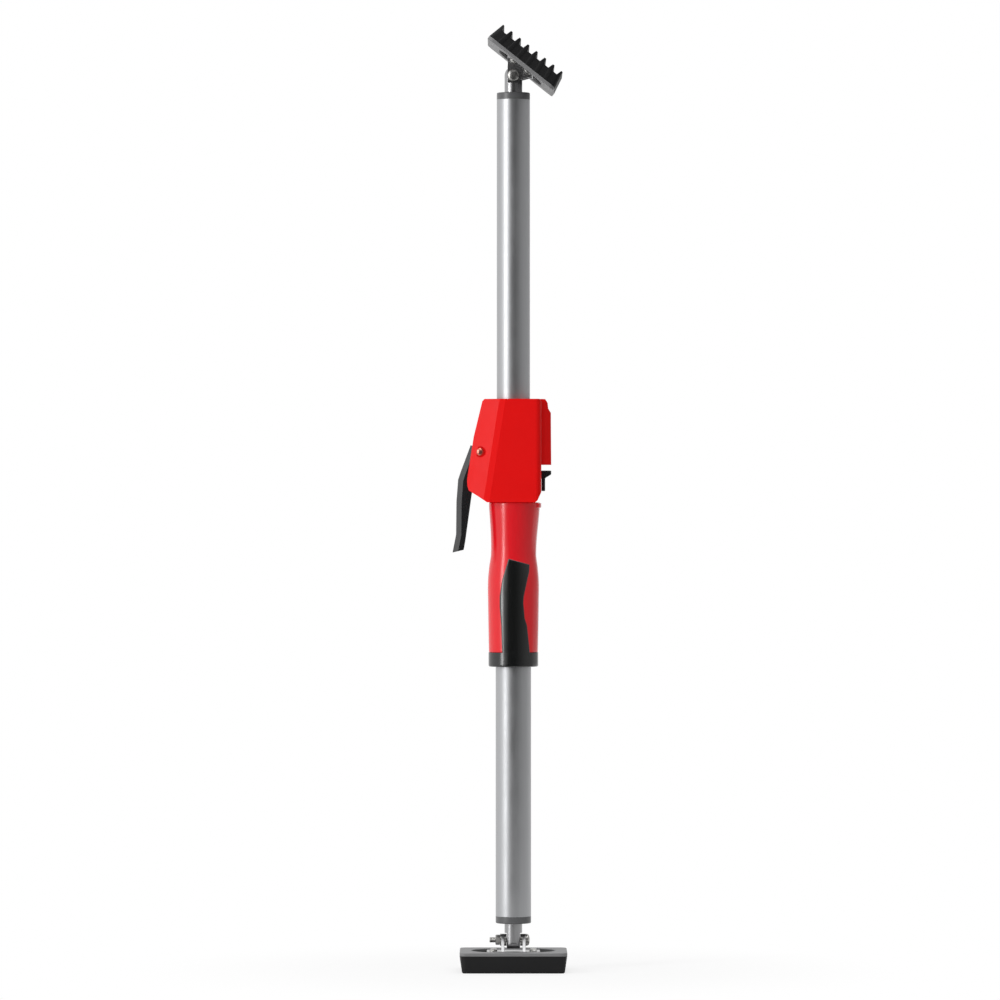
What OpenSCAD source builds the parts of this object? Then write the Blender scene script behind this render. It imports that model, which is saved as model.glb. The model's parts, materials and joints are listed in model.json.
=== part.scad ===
// Short telescopic support pole: two round tubes, a housing with a pump lever and
// lock plates, a soft grip, and the same swivelling ridged pad at each end.
// Millimetres, +Z up, origin on the pole's axis in the plane of the foot's ridge tips.

/* [Tubes] */
// Outer diameter of the lower tube
outer_tube_d = 32; // [31:0.5:33]
// Wall of both tubes
tube_wall = 0.8; // [0.6:0.1:1]
// Radial gap between the two tubes
tube_gap = 0.2; // [0.15:0.05:0.25]
// Length of the lower tube
outer_tube_l = 412.6; // [400:0.2:440]
// Length of the upper tube
inner_tube_l = 461.6; // [450:0.2:480]
// Height of the upper tube's lower end above the lower tube's lower end
drawn_out = 277.1; // [100:0.1:370]

/* [Pads] */
// Length of a pad along its pivot
pad_l = 97; // [90:1:110]
// Width of a pad across its pivot
pad_w = 75; // [72:1:85]
// How far each end of a pad leans in towards the ridges
pad_end_lean = 2.2; // [1:0.1:3]
// How far each side of a pad leans in towards the ridges
pad_side_lean = 3.3; // [2:0.1:4]
// Corner radius of a pad and its plate
pad_corner_r = 6; // [4:0.5:8]
// Height of a pad's block without its ridges
pad_base_t = 10.3; // [9:0.1:12]
// Number of ridges
ridge_count = 8; // [6:1:8]
// Spacing of the ridges
ridge_pitch = 9.6; // [9:0.1:9.6]
// Height of a ridge
ridge_h = 5; // [3:0.5:6]
// Width of a ridge at its tip
ridge_tip_w = 1.8; // [1:0.1:2.4]
// Width of a ridge at its root
ridge_root_w = 4.6; // [4:0.1:6]
// Thickness of the plate on a pad's back
plate_t = 3.2; // [2.8:0.1:4]
// Length of the oval opening in the plate
recess_l = 76; // [70:1:80]
// Width of the oval opening in the plate
recess_w = 48; // [44:1:52]

/* [Pivots] */
// Height of a pivot over the ridge tips of its pad
pivot_h = 28; // [27:0.5:32]
// Diameter of the pivot bolt
bolt_d = 5; // [4:0.5:6]
// Diameter of the bolt's domed head
bolt_head_d = 10.5; // [9.5:0.5:12]
// Height of the bolt's domed head
bolt_head_h = 2.8; // [2:0.1:4]
// Nut size across its flats
nut_af = 8; // [8:0.5:10]
// Height of the nut
nut_h = 4.2; // [3:0.1:5]
// Thread that stands out past the nut
thread_end = 5.3; // [2:0.1:7]
// Diameter of the washers
washer_d = 11; // [10:0.5:12]
// Thickness of the washers between stem and ears
inner_washer_t = 2; // [1.5:0.1:2.1]
// Thickness of the washers outside the ears
outer_washer_t = 1; // [0.6:0.1:1.6]
// Clear width between a bracket's ears
ear_gap = 16.4; // [16.3:0.1:17]
// Thickness of an ear
ear_t = 2.8; // [2:0.1:3.2]
// Radius of an ear's round end
ear_r = 5.5; // [5:0.25:7]
// Length of the bracket's base
bracket_l = 48; // [44:1:54]
// Width of the bracket's base
bracket_w = 29; // [26:0.5:31]
// Thickness of the bracket's base
bracket_t = 2.8; // [2:0.1:3.2]
// Distance of the rivets from the pole's axis along the pivot
rivet_out = 18; // [17:0.25:19]
// Distance of the rivets from the pivot's line
rivet_off = 8; // [6:0.25:9]
// Diameter of a rivet's shank
rivet_d = 4; // [3:0.25:4.5]
// Diameter of a rivet's head
rivet_head_d = 7; // [6:0.25:7.5]
// Height of a rivet's head
rivet_head_h = 2; // [1:0.1:2.2]
// Depth of a rivet's shank in the pad
rivet_grip = 6; // [3:0.25:8]

/* [Stems and caps] */
// Diameter of a stem
stem_d = 16; // [14:0.25:16]
// Width of a stem across its two flats
stem_flat_w = 12; // [11.5:0.1:12]
// Height of the flats past the pivot
stem_flat_rise = 6.5; // [6:0.25:8]
// Distance from the pivot to the cap
pivot_to_cap = 15.2; // [14:0.1:18]
// Height of a cap's ring
cap_h = 6.2; // [4:0.1:8]
// Chamfer of a cap's ring
cap_chamfer = 1; // [0.5:0.1:1.5]
// Depth of a cap's plug in its tube
plug_h = 5.5; // [4:0.25:5.5]
// Wall of a cap's plug round the stem's flange seat
stem_flange_t = 3; // [2:0.25:3]
// Diameter of the stem's flange behind the plug
stem_flange_d = 24; // [20:0.5:26]
// Tilt of the head from level in the stored pose
head_tilt = 38.5; // [-45:0.5:45]

/* [Glide and guide] */
// Height of the glide's collar under the upper tube
glide_collar_h = 5; // [3:0.5:5]
// Height of the glide's plug in the upper tube
glide_plug_h = 9; // [6:0.5:14]
// Bore of the glide
glide_bore_d = 21; // [16:0.5:23]
// Height of the guide's skirt round the lower tube
guide_skirt_h = 8; // [5:0.5:8]
// Height of the guide's ring over the lower tube
guide_ring_h = 3; // [2:0.25:3]
// Wall of the guide's skirt
guide_wall = 1.3; // [1:0.1:1.3]

/* [Grip] */
// Length of the grip with its collar
grip_l = 148.4; // [130:0.2:160]
// Largest radius of the grip
grip_r = 23.1; // [22.6:0.1:24.5]
// Height of the black collar
collar_h = 13; // [8:0.5:16]
// Edge radius of the collar
collar_edge_r = 2; // [1:0.25:3]
// Half width of the inlay
inlay_half_w = 15; // [12:0.5:16]
// Height of the inlay over the collar
inlay_h = 85.1; // [70:0.1:90]
// Thickness of the inlay
inlay_t = 2.2; // [1.5:0.1:2.4]
// How far the inlay stands proud of the sleeve
inlay_proud = 0.3; // [0.1:0.1:0.5]
// Reach of the ledge at the top of the grip
ledge_reach = 25.2; // [24.5:0.1:26]
// Height of the ledge
ledge_h = 5; // [3:0.25:6]
// Half width of the ledge
ledge_half_w = 12; // [8:0.5:14]

/* [Housing] */
// Height of the housing
housing_h = 93.3; // [92:0.1:96]
// Reach of the housing towards the lever
housing_left = 41.8; // [41:0.1:44]
// Reach of the housing towards the release tab
housing_right = 25.2; // [25:0.1:26]
// Depth of the housing from front to rear
housing_depth = 50; // [49:0.5:56]
// Wall of the housing
housing_wall = 2.4; // [1.8:0.1:2.4]
// Corner radius of the housing beside the fin
housing_corner_r = 5.5; // [3:0.25:7]
// Reach of the fin that holds the lock plates' ends
fin_reach = 34.2; // [34:0.1:37]
// Width of the fin from front to rear
fin_w = 24; // [23:0.5:28]
// Chamfer of the fin's long edges
fin_chamfer = 5; // [3:0.25:5]
// Width of the bevel beside the front face
bevel_w = 5.4; // [3:0.1:7]
// How far the bevel drops back
bevel_drop = 1.4; // [0.8:0.1:2]
// Distance of the bevel from the pole's axis at the housing's foot
bevel_out = 21.6; // [20:0.1:23]
// Lean of the bevel and the lever's side of the housing
bevel_lean = 9; // [7:0.25:11]
// Angle of the side panel to the front face
panel_angle = 28; // [22:1:30]
// Distance of the end of the lever's slot from the pole's axis
slot_out = 25; // [22:0.25:26]
// Diameter of a screw's thread
screw_d = 2.9; // [2.5:0.1:3.5]
// Diameter of a screw's head
screw_head_d = 5.6; // [5:0.1:6]
// Height of a screw's head
screw_head_h = 2; // [1.5:0.1:2.5]
// Length of a screw under its head
screw_l = 20; // [16:0.5:21]
// Radius of a screw boss
boss_r = 3.1; // [2.8:0.1:3.1]

/* [Lever] */
// Distance of the lever's pin from the pole's axis
lever_pin_out = 29.8; // [29.5:0.1:30.5]
// Height of the lever's pin over the lower tube's end
lever_pin_rise = 7.3; // [7:0.1:7.5]
// Diameter of the lever's pin
lever_pin_d = 5; // [4:0.25:5.5]
// Diameter of the pin's heads
pin_head_d = 6.8; // [6.5:0.1:8]
// Height of the pin's heads
pin_head_h = 1.8; // [1:0.1:2.2]
// Length of the pin between its heads
pin_l = 34; // [33:0.5:35]
// Diameter of the hollow round the pin's head
pin_hollow_d = 10; // [9:0.25:11]
// Width of the lever
lever_w = 18; // [14:0.5:18]
// Reach of the lever's tip past its pin
lever_reach = 25.2; // [23:0.1:27]
// Drop of the lever's tip under its pin
lever_drop = 90.9; // [80:0.1:100]
// Radius of the lever's hub
lever_hub_r = 7.2; // [6.5:0.1:7.2]
// Radius at which the lever's nose lifts the drive plate
nose_r = 11.6; // [11:0.1:12]
// Thickness of the lever's walls
lever_wall = 2.6; // [2:0.1:3]
// Chamfer of the lever's back, across its width
lever_chamfer_w = 3.6; // [2:0.1:4]
// Chamfer of the lever's back, along its depth
lever_chamfer_d = 4.7; // [3:0.1:5]
// Clearance on each side of the lever
lever_clear = 1; // [0.5:0.1:1.2]

/* [Drive and lock] */
// Height of the drive plate over the lower tube's end
drive_rise = 8; // [8:0.1:8.5]
// Thickness of the drive plate
drive_plate_t = 4; // [3:0.25:4]
// Reach of the drive plate towards the lever
drive_left = 22.2; // [21.5:0.1:22.2]
// Reach of the drive plate away from the lever
drive_right = 19; // [18:0.25:19.4]
// Half width of the drive and lock plates
plate_half_w = 19; // [18:0.25:19.5]
// Reach towards the lever at which the plates and shelves narrow
plate_left = 17; // [16.5:0.1:17]
// Half width of the drive plate's tongue
drive_tongue_half_w = 9.5; // [7:0.25:9.8]
// Free height of the drive spring
drive_spring_h = 10; // [9:0.25:11]
// Number of turns of the drive spring
drive_spring_turns = 3; // [2:1:4]
// Wire of both springs
wire_d = 1.6; // [1.2:0.1:1.8]
// Thickness of a lock plate
lock_plate_t = 3; // [2:0.25:3]
// Number of lock plates
lock_plate_count = 2; // [1:1:2]
// Tilt of the lock plates at rest
lock_tilt = 5; // [3:0.25:5]
// Reach of the lock plates into the fin
lock_right = 30.4; // [28:0.2:30.4]
// Reach of the lock plates towards the lever
lock_left = 27.6; // [27:0.1:28]
// Half width of the lock plates' end in the fin
lock_tongue_half_w = 5.2; // [4:0.2:5.4]
// Half width of the lock plates' end over the fulcrum
lock_heel_half_w = 12; // [8:0.25:13]
// Number of turns of the lock spring
lock_spring_turns = 4; // [3:1:5]

/* [Frame] */
// Thickness of the frame's cheeks and base
frame_t = 2; // [1.5:0.1:2.5]
// Thickness of the frame's shelf
shelf_t = 3; // [2:0.25:3]
// Half width of the frame over its cheeks
frame_half_w = 22; // [21.6:0.1:22.1]
// Reach of the frame's cheeks away from the lever
cheek_right = 17; // [14:0.5:17]
// Reach of the frame's cheeks towards the lever
cheek_left = 9; // [7:0.5:9]
// Half width of the shelf and top where they pass the housing's bevel
bevel_half_w = 17.5; // [16.5:0.1:17.5]
// Height of the fulcrum over the shelf
fulcrum_rise = 6; // [5.5:0.1:7]
// Height of the frame's top over the fulcrum
frame_rise = 21.4; // [21.4:0.1:22.4]
// Distance of the fulcrum from the pole's axis
fulcrum_out = 26; // [25.5:0.1:26.5]
// Thickness of the lugs that carry the lever's pin
lug_t = 2; // [1.5:0.1:2]
// Radius of a lug's round end
lug_r = 4.6; // [4:0.1:5]

/* [Release slider] */
// Gap between the raised tab and the fin's foot
tab_gap = 0.95; // [0.5:0.05:1.5]
// Reach of the tab
tab_reach = 34.2; // [32:0.1:36]
// Thickness of the tab at its edge
tab_t = 3.6; // [2.5:0.1:4]
// Height of the slope under the tab
tab_slope_h = 3.3; // [2:0.1:4]
// Thickness of the thumb piece
thumb_t = 3.2; // [2.5:0.1:4]
// Height of the slider's outer part
thumb_h = 18.6; // [15:0.1:19]
// Half width of the tab
tab_half_w = 8.5; // [7:0.25:10]
// Half width of the slider's neck and strut
strut_half_w = 5; // [4:0.25:6]
// Thickness of the strut
strut_t = 2.4; // [1.8:0.1:2.6]
// Travel of the slider
release_travel = 4.2; // [3:0.1:4.4]

/* [Clearances] */
// Gap between pieces that are fixed together
fit_gap = 0.05; // [0.03:0.01:0.1]
// Radial gap of a pin in the piece that turns on it
pin_gap = 0.07; // [0.05:0.01:0.1]
// Radial gap of the plastic glide and guide on their tubes
slide_gap = 0.1; // [0.05:0.01:0.1]
// Gap between pieces that move past each other
move_gap = 0.3; // [0.2:0.05:0.4]
// Radial gap of the drive plate on the upper tube
drive_gap = 0.4; // [0.3:0.05:0.5]
// Radial gap of the lock plates on the upper tube
lock_gap = 0.6; // [0.5:0.05:0.7]

/* [Hidden] */
$fn = 96;
hull_fn = 32;
// Length by which every cut runs past the face that it opens
overrun = 1;
// How deep one solid of a piece runs into the next
bury = 0.4;

// Heights along the pole
foot_cap_z = pivot_h + pivot_to_cap;
outer_tube_z = foot_cap_z + cap_h;
tube_top_z = outer_tube_z + outer_tube_l;
inner_tube_z = outer_tube_z + drawn_out;
head_cap_z = inner_tube_z + inner_tube_l;
head_pivot_z = head_cap_z + cap_h + pivot_to_cap;
drive_z = tube_top_z + drive_rise;
shelf_z = drive_z + drive_plate_t + drive_spring_h;
shelf_top_z = shelf_z + shelf_t;
fulcrum_z = shelf_top_z + fulcrum_rise;
frame_top_z = fulcrum_z + frame_rise;
housing_top_z = frame_top_z + move_gap + housing_wall;
housing_z = housing_top_z - housing_h;
grip_top_z = housing_z - 4 * fit_gap;
grip_z = grip_top_z - grip_l;
collar_top_z = grip_z + collar_h;

// Tube sizes
outer_r = outer_tube_d / 2;
outer_bore_r = outer_r - tube_wall;
inner_r = outer_bore_r - tube_gap;
inner_bore_r = inner_r - tube_wall;

// Sizes of a pad with its pivot at the origin and its ridges down
pad_t = pad_base_t + ridge_h;
plate_z = pad_t - pivot_h;
ear_in = ear_gap / 2;
ear_out = ear_in + ear_t;
bolt_seat = ear_out + outer_washer_t;

// Heights and places in the housing
pin_z = tube_top_z + lever_pin_rise;
frame_z = tube_top_z - guide_skirt_h - 2 * frame_t;
spring_r = inner_r + wire_d / 2 + 2 * move_gap;
frame_right = drive_right;
strut_x = housing_right - housing_wall - move_gap - strut_t;
lug_in = lever_w / 2 + lever_clear + move_gap;
half_depth = housing_depth / 2;
// Distance of the pin's heads from the middle plane
pin_seat = pin_l / 2;
// Thickness of the stack of lock plates
lock_stack = lock_plate_count * lock_plate_t + (lock_plate_count - 1) * move_gap;
// Rings of a coil in each turn
rings_per_turn = 20;

// Grip radius, as shares of the grip's radius, against height over the collar
grip_shares = [
    [0.96, 0], [0.978, 0.15], [0.995, 0.34], [1, 0.46], [0.99, 0.5], [0.968, 0.54],
    [0.946, 0.576], [0.909, 0.616], [0.889, 0.645], [0.885, 0.67], [0.888, 0.71], [0.9, 0.76],
    [0.92, 0.81], [0.946, 0.864], [0.972, 0.92], [0.99, 0.965], [0.994, 1]
];
// Outline of the inlay: share of its half width, share of its height
inlay_shares = [
    [-0.69, 0], [-0.75, 0.29], [-0.84, 0.49], [-0.84, 0.6], [-0.69, 0.77], [-0.39, 0.95],
    [-0.31, 1], [0.99, 0.935], [0.96, 0.855], [0.85, 0.767], [0.64, 0.597], [0.61, 0.529],
    [0.69, 0.365], [0.83, 0.29], [1, 0]
];
// Outline of the housing: share of its reach on that side, share of its height
housing_left_shares = [
    [0.624, 1], [0.672, 0.978], [0.858, 0.634], [1, 0.225], [0.995, 0.16], [0.965, 0.115],
    [0.79, 0.066], [0.567, 0]
];
housing_right_shares = [[0.78, 0], [0.86, 0.018], [1, 0.1], [1, 0.98], [0.93, 1]];
// Share of the housing's height at which the fin begins
fin_foot_share = 0.363;
// Height of the top of the tab, which stops under the fin when it is raised
tab_z = housing_z + fin_foot_share * housing_h - release_travel - tab_gap;
// Outline of the fin: share of its reach, share of the housing's height
fin_shares = [[1, fin_foot_share], [0.99, 0.866], [0.92, 0.909], [0.905, 0.961], [0.838, 1]];
// Outline of the lever from its pin: share of its reach, share of its drop
lever_back_shares = [
    [-0.35, 0.068], [-0.71, -0.2], [-0.8, -0.275], [-0.86, -0.49],
    [-0.873, -0.82], [-0.93, -0.9], [-1, -1]
];
lever_front_shares = [
    [-0.6, -0.973], [-0.548, -0.893], [-0.49, -0.78], [-0.353, -0.504], [-0.31, -0.414],
    [-0.16, -0.19], [0.09, -0.088]
];
// Share of the nose's radius that it is thick at its tip
nose_tip_share = 0.35;
// Share of the nose's radius at which the nose's top leaves the hub
nose_root_share = 0.5;
// Screws: share of the housing's reach on that side, share of its height
screw_shares = [[-0.53, 0.893], [0.778, 0.062], [0.833, 0.885]];

// Share of the pin head's height in its rim and share of a nut's height in its chamfer
dome_rim_share = 0.3;
nut_chamfer_share = 0.14;

// Unit vector along v
function unit(v) = v / norm(v);

// Points of a polygon moved inwards by d, for points that run counter-clockwise
function inset_points(p, d) = [
    for (i = [0 : len(p) - 1])
        let (
            a = unit(p[i] - p[(i + len(p) - 1) % len(p)]),
            b = unit(p[(i + 1) % len(p)] - p[i]),
            na = [-a.y, a.x],
            nb = [-b.y, b.x]
        )
        p[i] + d * (na + nb) / (1 + na * nb)
];

// Point where a line from p touches the circle of radius r at the origin
function touch_point(p, r, side) =
    let (turn = atan2(p.y, p.x) + side * acos(r / norm(p)))
    [r * cos(turn), r * sin(turn)];

// Points of a table of shares, scaled by a width and a height
function scaled(shares, w, h) = [for (s = shares) [s.x * w, s.y * h]];

// Outline of the housing in the X and Z plane, counter-clockwise, from its foot
function housing_outline() = concat(
    scaled(housing_right_shares, housing_right, housing_h),
    scaled(housing_left_shares, -housing_left, housing_h)
);

// Outline of the fin, from inside the housing's side wall
function fin_outline() = concat(
    [[housing_right - housing_corner_r, fin_foot_share * housing_h]],
    scaled(fin_shares, fin_reach, housing_h),
    [[housing_right - housing_corner_r, housing_h]]
);

// Outline of the lever from its pin
function nose_points() = [
    [nose_r, -nose_tip_share * nose_r],
    [nose_r, drive_z - pin_z - move_gap],
    [nose_root_share * nose_r, drive_z - pin_z - move_gap]
];
function lever_outline() = concat(
    scaled(lever_back_shares, lever_reach, lever_drop),
    scaled(lever_front_shares, lever_reach, lever_drop),
    nose_points()
);

// Centre of screw i from its table
function screw_place(s) = [
    s.x < 0 ? s.x * housing_left : s.x * housing_right,
    housing_z + s.y * housing_h
];

// Ring of a wire's section: centre c, heading h, out direction o
function wire_ring(c, h, o) =
    let (up = cross(h, o))
    [for (k = [0 : 5]) c + wire_d / 2 * (o * cos(60 * k) + up * sin(60 * k))];

// An upright outline in X and Z, extruded by w along Y about the middle plane
module upright(w) {
    rotate([90, 0, 0])
        linear_extrude(w, center = true)
            children();
}

// A straight round bar along X from x0 to x1
module bar_x(r, x0, x1) {
    translate([x0, 0, 0])
        rotate([0, 90, 0])
            cylinder(r = r, h = x1 - x0);
}

// A straight round bar along Y from y0 to y1
module bar_y(r, y0, y1) {
    translate([0, y1, 0])
        rotate([90, 0, 0])
            cylinder(r = r, h = y1 - y0);
}

// A block between two corners
module block(low, high) {
    translate(low)
        cube(high - low);
}

// A rectangle about the origin with round corners
module round_rect(l, w, r) {
    square([l - 2 * r, w], center = true);
    square([l, w - 2 * r], center = true);
    for (x = [-1, 1], y = [-1, 1])
        translate([x * (l / 2 - r), y * (w / 2 - r)])
            circle(r);
}

// A plate with a round eye at the origin, spread to two points of its root
module eye_outline(r, left, right, side) {
    circle(r);
    polygon([left, right, touch_point(right, r, side), [0, 0], touch_point(left, r, -side)]);
}

// A domed head that rises along +Z from a rim that stands a little proud of the dome
module dome(d, h) {
    rim = dome_rim_share * h;
    rise = h - rim;
    foot_r = d / 2 - fit_gap;
    ball_r = (foot_r * foot_r + rise * rise) / (2 * rise);
    cylinder(d = d, h = rim);
    intersection() {
        block([-d, -d, rim / 2], [d, d, h + d]);
        translate([0, 0, h - ball_r])
            sphere(ball_r);
        cylinder(d = d, h = h);
    }
}

// The sides of a pad, which lean in from the plate to the ridge tips
module pad_body() {
    hull() {
        translate([0, 0, plate_z])
            linear_extrude(fit_gap)
                round_rect(pad_l, pad_w, pad_corner_r, $fn = hull_fn);
        translate([0, 0, -pivot_h])
            linear_extrude(fit_gap)
                round_rect(
                    pad_l - 2 * pad_end_lean, pad_w - 2 * pad_side_lean,
                    pad_corner_r - pad_end_lean, $fn = hull_fn
                );
    }
}

// Cross-section of the pad's block and ridges in Y and Z
module ridge_section() {
    translate([-pad_w / 2, ridge_h])
        square([pad_w, pad_t - ridge_h]);
    for (i = [0 : ridge_count - 1])
        translate([(i - (ridge_count - 1) / 2) * ridge_pitch, 0])
            polygon([
                [-ridge_tip_w / 2, 0], [ridge_tip_w / 2, 0],
                [ridge_root_w / 2, ridge_h], [ridge_root_w / 2, ridge_h + bury],
                [-ridge_root_w / 2, ridge_h + bury], [-ridge_root_w / 2, ridge_h]
            ]);
}

module rivet_places() {
    for (x = [-1, 1], y = [-1, 1])
        translate([x * rivet_out, y * rivet_off, plate_z])
            children();
}

module pad() {
    color([0.1, 0.1, 0.11])
        difference() {
            intersection() {
                pad_body();
                translate([0, 0, -pivot_h])
                    rotate([90, 0, 90])
                        linear_extrude(pad_l, center = true)
                            ridge_section();
            }
            rivet_places()
                translate([0, 0, -rivet_grip - fit_gap])
                    cylinder(r = rivet_d / 2 + fit_gap, h = rivet_grip + fit_gap + overrun);
        }
}

module plate() {
    color([0.5, 0.5, 0.51])
        translate([0, 0, plate_z])
            difference() {
                linear_extrude(plate_t)
                    round_rect(pad_l, pad_w, pad_corner_r);
                translate([0, 0, -overrun])
                    linear_extrude(plate_t + 2 * overrun) {
                        square([recess_l - recess_w, recess_w], center = true);
                        for (x = [-1, 1])
                            translate([x * (recess_l - recess_w) / 2, 0])
                                circle(d = recess_w);
                    }
            }
}

module bracket() {
    base_top = plate_z + bracket_t;
    color([0.72, 0.73, 0.74])
        difference() {
            union() {
                translate([0, 0, plate_z])
                    linear_extrude(bracket_t)
                        round_rect(bracket_l, bracket_w, bracket_t);
                for (x = [-1, 1])
                    translate([x * (ear_in + ear_t / 2), 0, 0])
                        rotate([90, 0, 90])
                            linear_extrude(ear_t, center = true)
                                eye_outline(
                                    ear_r, [-bracket_w / 2, base_top - bury],
                                    [bracket_w / 2, base_top - bury], 1
                                );
            }
            bar_x(bolt_d / 2 + fit_gap, -ear_out - overrun, ear_out + overrun);
            rivet_places()
                translate([0, 0, -overrun])
                    cylinder(r = rivet_d / 2 + fit_gap, h = bracket_t + 2 * overrun);
        }
}

module rivets() {
    color([0.78, 0.78, 0.78])
        rivet_places() {
            translate([0, 0, -rivet_grip])
                cylinder(d = rivet_d, h = rivet_grip + bracket_t + bury);
            translate([0, 0, bracket_t])
                dome(rivet_head_d, rivet_head_h);
        }
}

module bolt() {
    color([0.75, 0.74, 0.7]) {
        bar_x(bolt_d / 2, -bolt_seat - nut_h - thread_end, bolt_seat + bury);
        translate([bolt_seat, 0, 0])
            rotate([0, 90, 0])
                dome(bolt_head_d, bolt_head_h);
    }
}

module nut() {
    corner_r = nut_af / sqrt(3);
    chamfer = nut_chamfer_share * nut_h;
    color([0.7, 0.7, 0.68])
        translate([-bolt_seat - nut_h, 0, 0])
            rotate([0, 90, 0])
                difference() {
                    intersection() {
                        cylinder(r = corner_r, h = nut_h, $fn = 6);
                        rotate_extrude()
                            polygon([
                                [0, 0], [corner_r - chamfer, 0], [corner_r, chamfer],
                                [corner_r, nut_h - chamfer], [corner_r - chamfer, nut_h], [0, nut_h]
                            ]);
                    }
                    translate([0, 0, -overrun])
                        cylinder(r = bolt_d / 2 + fit_gap, h = nut_h + 2 * overrun);
                }
}

// One washer on the bolt from x0 to x1
module washer(x0, x1) {
    difference() {
        bar_x(washer_d / 2, x0, x1);
        bar_x(bolt_d / 2 + fit_gap, x0 - overrun, x1 + overrun);
    }
}

module washers() {
    color([0.66, 0.67, 0.68]) {
        washer(ear_in - inner_washer_t, ear_in);
        washer(-ear_in, inner_washer_t - ear_in);
        washer(ear_out, ear_out + outer_washer_t);
        washer(-ear_out - outer_washer_t, -ear_out);
    }
}

// Stem with its pivot at the origin and the pole above it
module stem() {
    flange_z = pivot_to_cap + cap_h + plug_h;
    color([0.62, 0.63, 0.64])
        difference() {
            union() {
                intersection() {
                    cylinder(d = stem_d, h = flange_z + bury);
                    block([-stem_d, -stem_d, 0], [stem_d, stem_d, flange_z + stem_d]);
                }
                intersection() {
                    bar_x(stem_d / 2, -stem_d / 2, stem_d / 2);
                    translate([0, 0, -stem_d / 2])
                        cylinder(d = stem_d, h = stem_d / 2 + bury);
                }
                translate([0, 0, flange_z])
                    cylinder(d = stem_flange_d, h = stem_flange_t);
            }
            for (x = [-1, 1])
                translate([x * (stem_flat_w / 2 + stem_d / 2), 0, stem_flat_rise / 2 - stem_d / 2])
                    cube([stem_d, 2 * stem_d, stem_flat_rise + stem_d], center = true);
            bar_x(bolt_d / 2 + pin_gap, -stem_d, stem_d);
        }
}

// Cap with its ring's outer face at the origin, for a tube of radius r and bore radius bore_r
module cap(r, bore_r) {
    stem_r = stem_d / 2 + fit_gap;
    color([0.22, 0.22, 0.23])
        rotate_extrude()
            polygon([
                [stem_r, 0], [r - cap_chamfer, 0], [r, cap_chamfer], [r, cap_h],
                [bore_r - fit_gap, cap_h], [bore_r - fit_gap, cap_h + plug_h], [stem_r, cap_h + plug_h]
            ]);
}

// A tube of outer radius r
module tube(r, h) {
    color([0.7, 0.71, 0.72])
        difference() {
            cylinder(r = r, h = h);
            translate([0, 0, -overrun])
                cylinder(r = r - tube_wall, h = h + 2 * overrun);
        }
}

// Places a piece of the foot's pad
module at_foot() {
    translate([0, 0, pivot_h])
        children();
}

// Places a piece of the head's pad: turned over, turned a quarter and tilted
module at_head() {
    translate([0, 0, head_pivot_z])
        rotate([0, head_tilt, 0])
            rotate([0, 0, 90])
                rotate([180, 0, 180])
                    children();
}

module foot_pad() at_foot() pad();
module foot_plate() at_foot() plate();
module foot_bracket() at_foot() bracket();
module foot_rivets() at_foot() rivets();
module foot_bolt() at_foot() bolt();
module foot_nut() at_foot() nut();
module foot_washers() at_foot() washers();
module foot_stem() at_foot() stem();

module foot_cap() {
    translate([0, 0, foot_cap_z])
        cap(outer_r, outer_bore_r);
}

module outer_tube() {
    translate([0, 0, outer_tube_z])
        tube(outer_r, outer_tube_l);
}

module inner_tube() {
    translate([0, 0, inner_tube_z])
        tube(inner_r, inner_tube_l);
}

module head_cap() {
    translate([0, 0, head_cap_z + cap_h])
        mirror([0, 0, 1])
            cap(inner_r, inner_bore_r);
}

module head_stem() {
    translate([0, 0, head_pivot_z])
        rotate([180, 0, 90])
            stem();
}

module head_pad() at_head() pad();
module head_plate() at_head() plate();
module head_bracket() at_head() bracket();
module head_rivets() at_head() rivets();
module head_bolt() at_head() bolt();
module head_nut() at_head() nut();
module head_washers() at_head() washers();

// Ring under the upper tube's end, whose plug turns in the tube
module tube_glide() {
    color([0.85, 0.85, 0.82])
        translate([0, 0, inner_tube_z - fit_gap])
            rotate_extrude()
                polygon([
                    [glide_bore_d / 2, -glide_collar_h], [outer_bore_r - slide_gap, -glide_collar_h],
                    [outer_bore_r - slide_gap, 0], [inner_bore_r - slide_gap, 0],
                    [inner_bore_r - slide_gap, glide_plug_h], [glide_bore_d / 2, glide_plug_h]
                ]);
}

// Ring on the lower tube's end that the upper tube slides through
module tube_guide() {
    skirt_r = outer_r + fit_gap;
    color([0.15, 0.15, 0.16])
        translate([0, 0, tube_top_z])
            rotate_extrude()
                polygon([
                    [skirt_r, -guide_skirt_h], [skirt_r + guide_wall, -guide_skirt_h],
                    [skirt_r + guide_wall, guide_ring_h], [inner_r + slide_gap, guide_ring_h],
                    [inner_r + slide_gap, fit_gap], [skirt_r, fit_gap]
                ]);
}

// Grip outline in radius and height over the collar, moved out by d
function grip_profile(d) =
    [for (s = grip_shares) [s.x * grip_r + d, s.y * (grip_l - collar_h)]];

// Shell under the grip's surface from depth to d outside it
module grip_shell(depth, d) {
    outside = grip_profile(d);
    inside = grip_profile(-depth);
    rotate_extrude()
        polygon(concat(
            [[outside[0].x, -bury]], outside,
            [for (i = [len(inside) - 1 : -1 : 0]) inside[i]], [[inside[0].x, -bury]]
        ));
}

// The inlay's two panels, grown by gap on every side
module inlay_panels(depth, proud, gap) {
    outline = inset_points(scaled(inlay_shares, inlay_half_w, inlay_h), gap);
    for (y = [0, 1])
        mirror([0, y, 0])
            intersection() {
                grip_shell(depth, proud);
                translate([0, -grip_r / 2, 0])
                    upright(grip_r + 2 * overrun)
                        union() {
                            polygon(outline);
                            polygon([
                                outline[0], outline[len(outline) - 1],
                                outline[len(outline) - 1] - [0, overrun], outline[0] - [0, overrun]
                            ]);
                        }
            }
}

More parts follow.
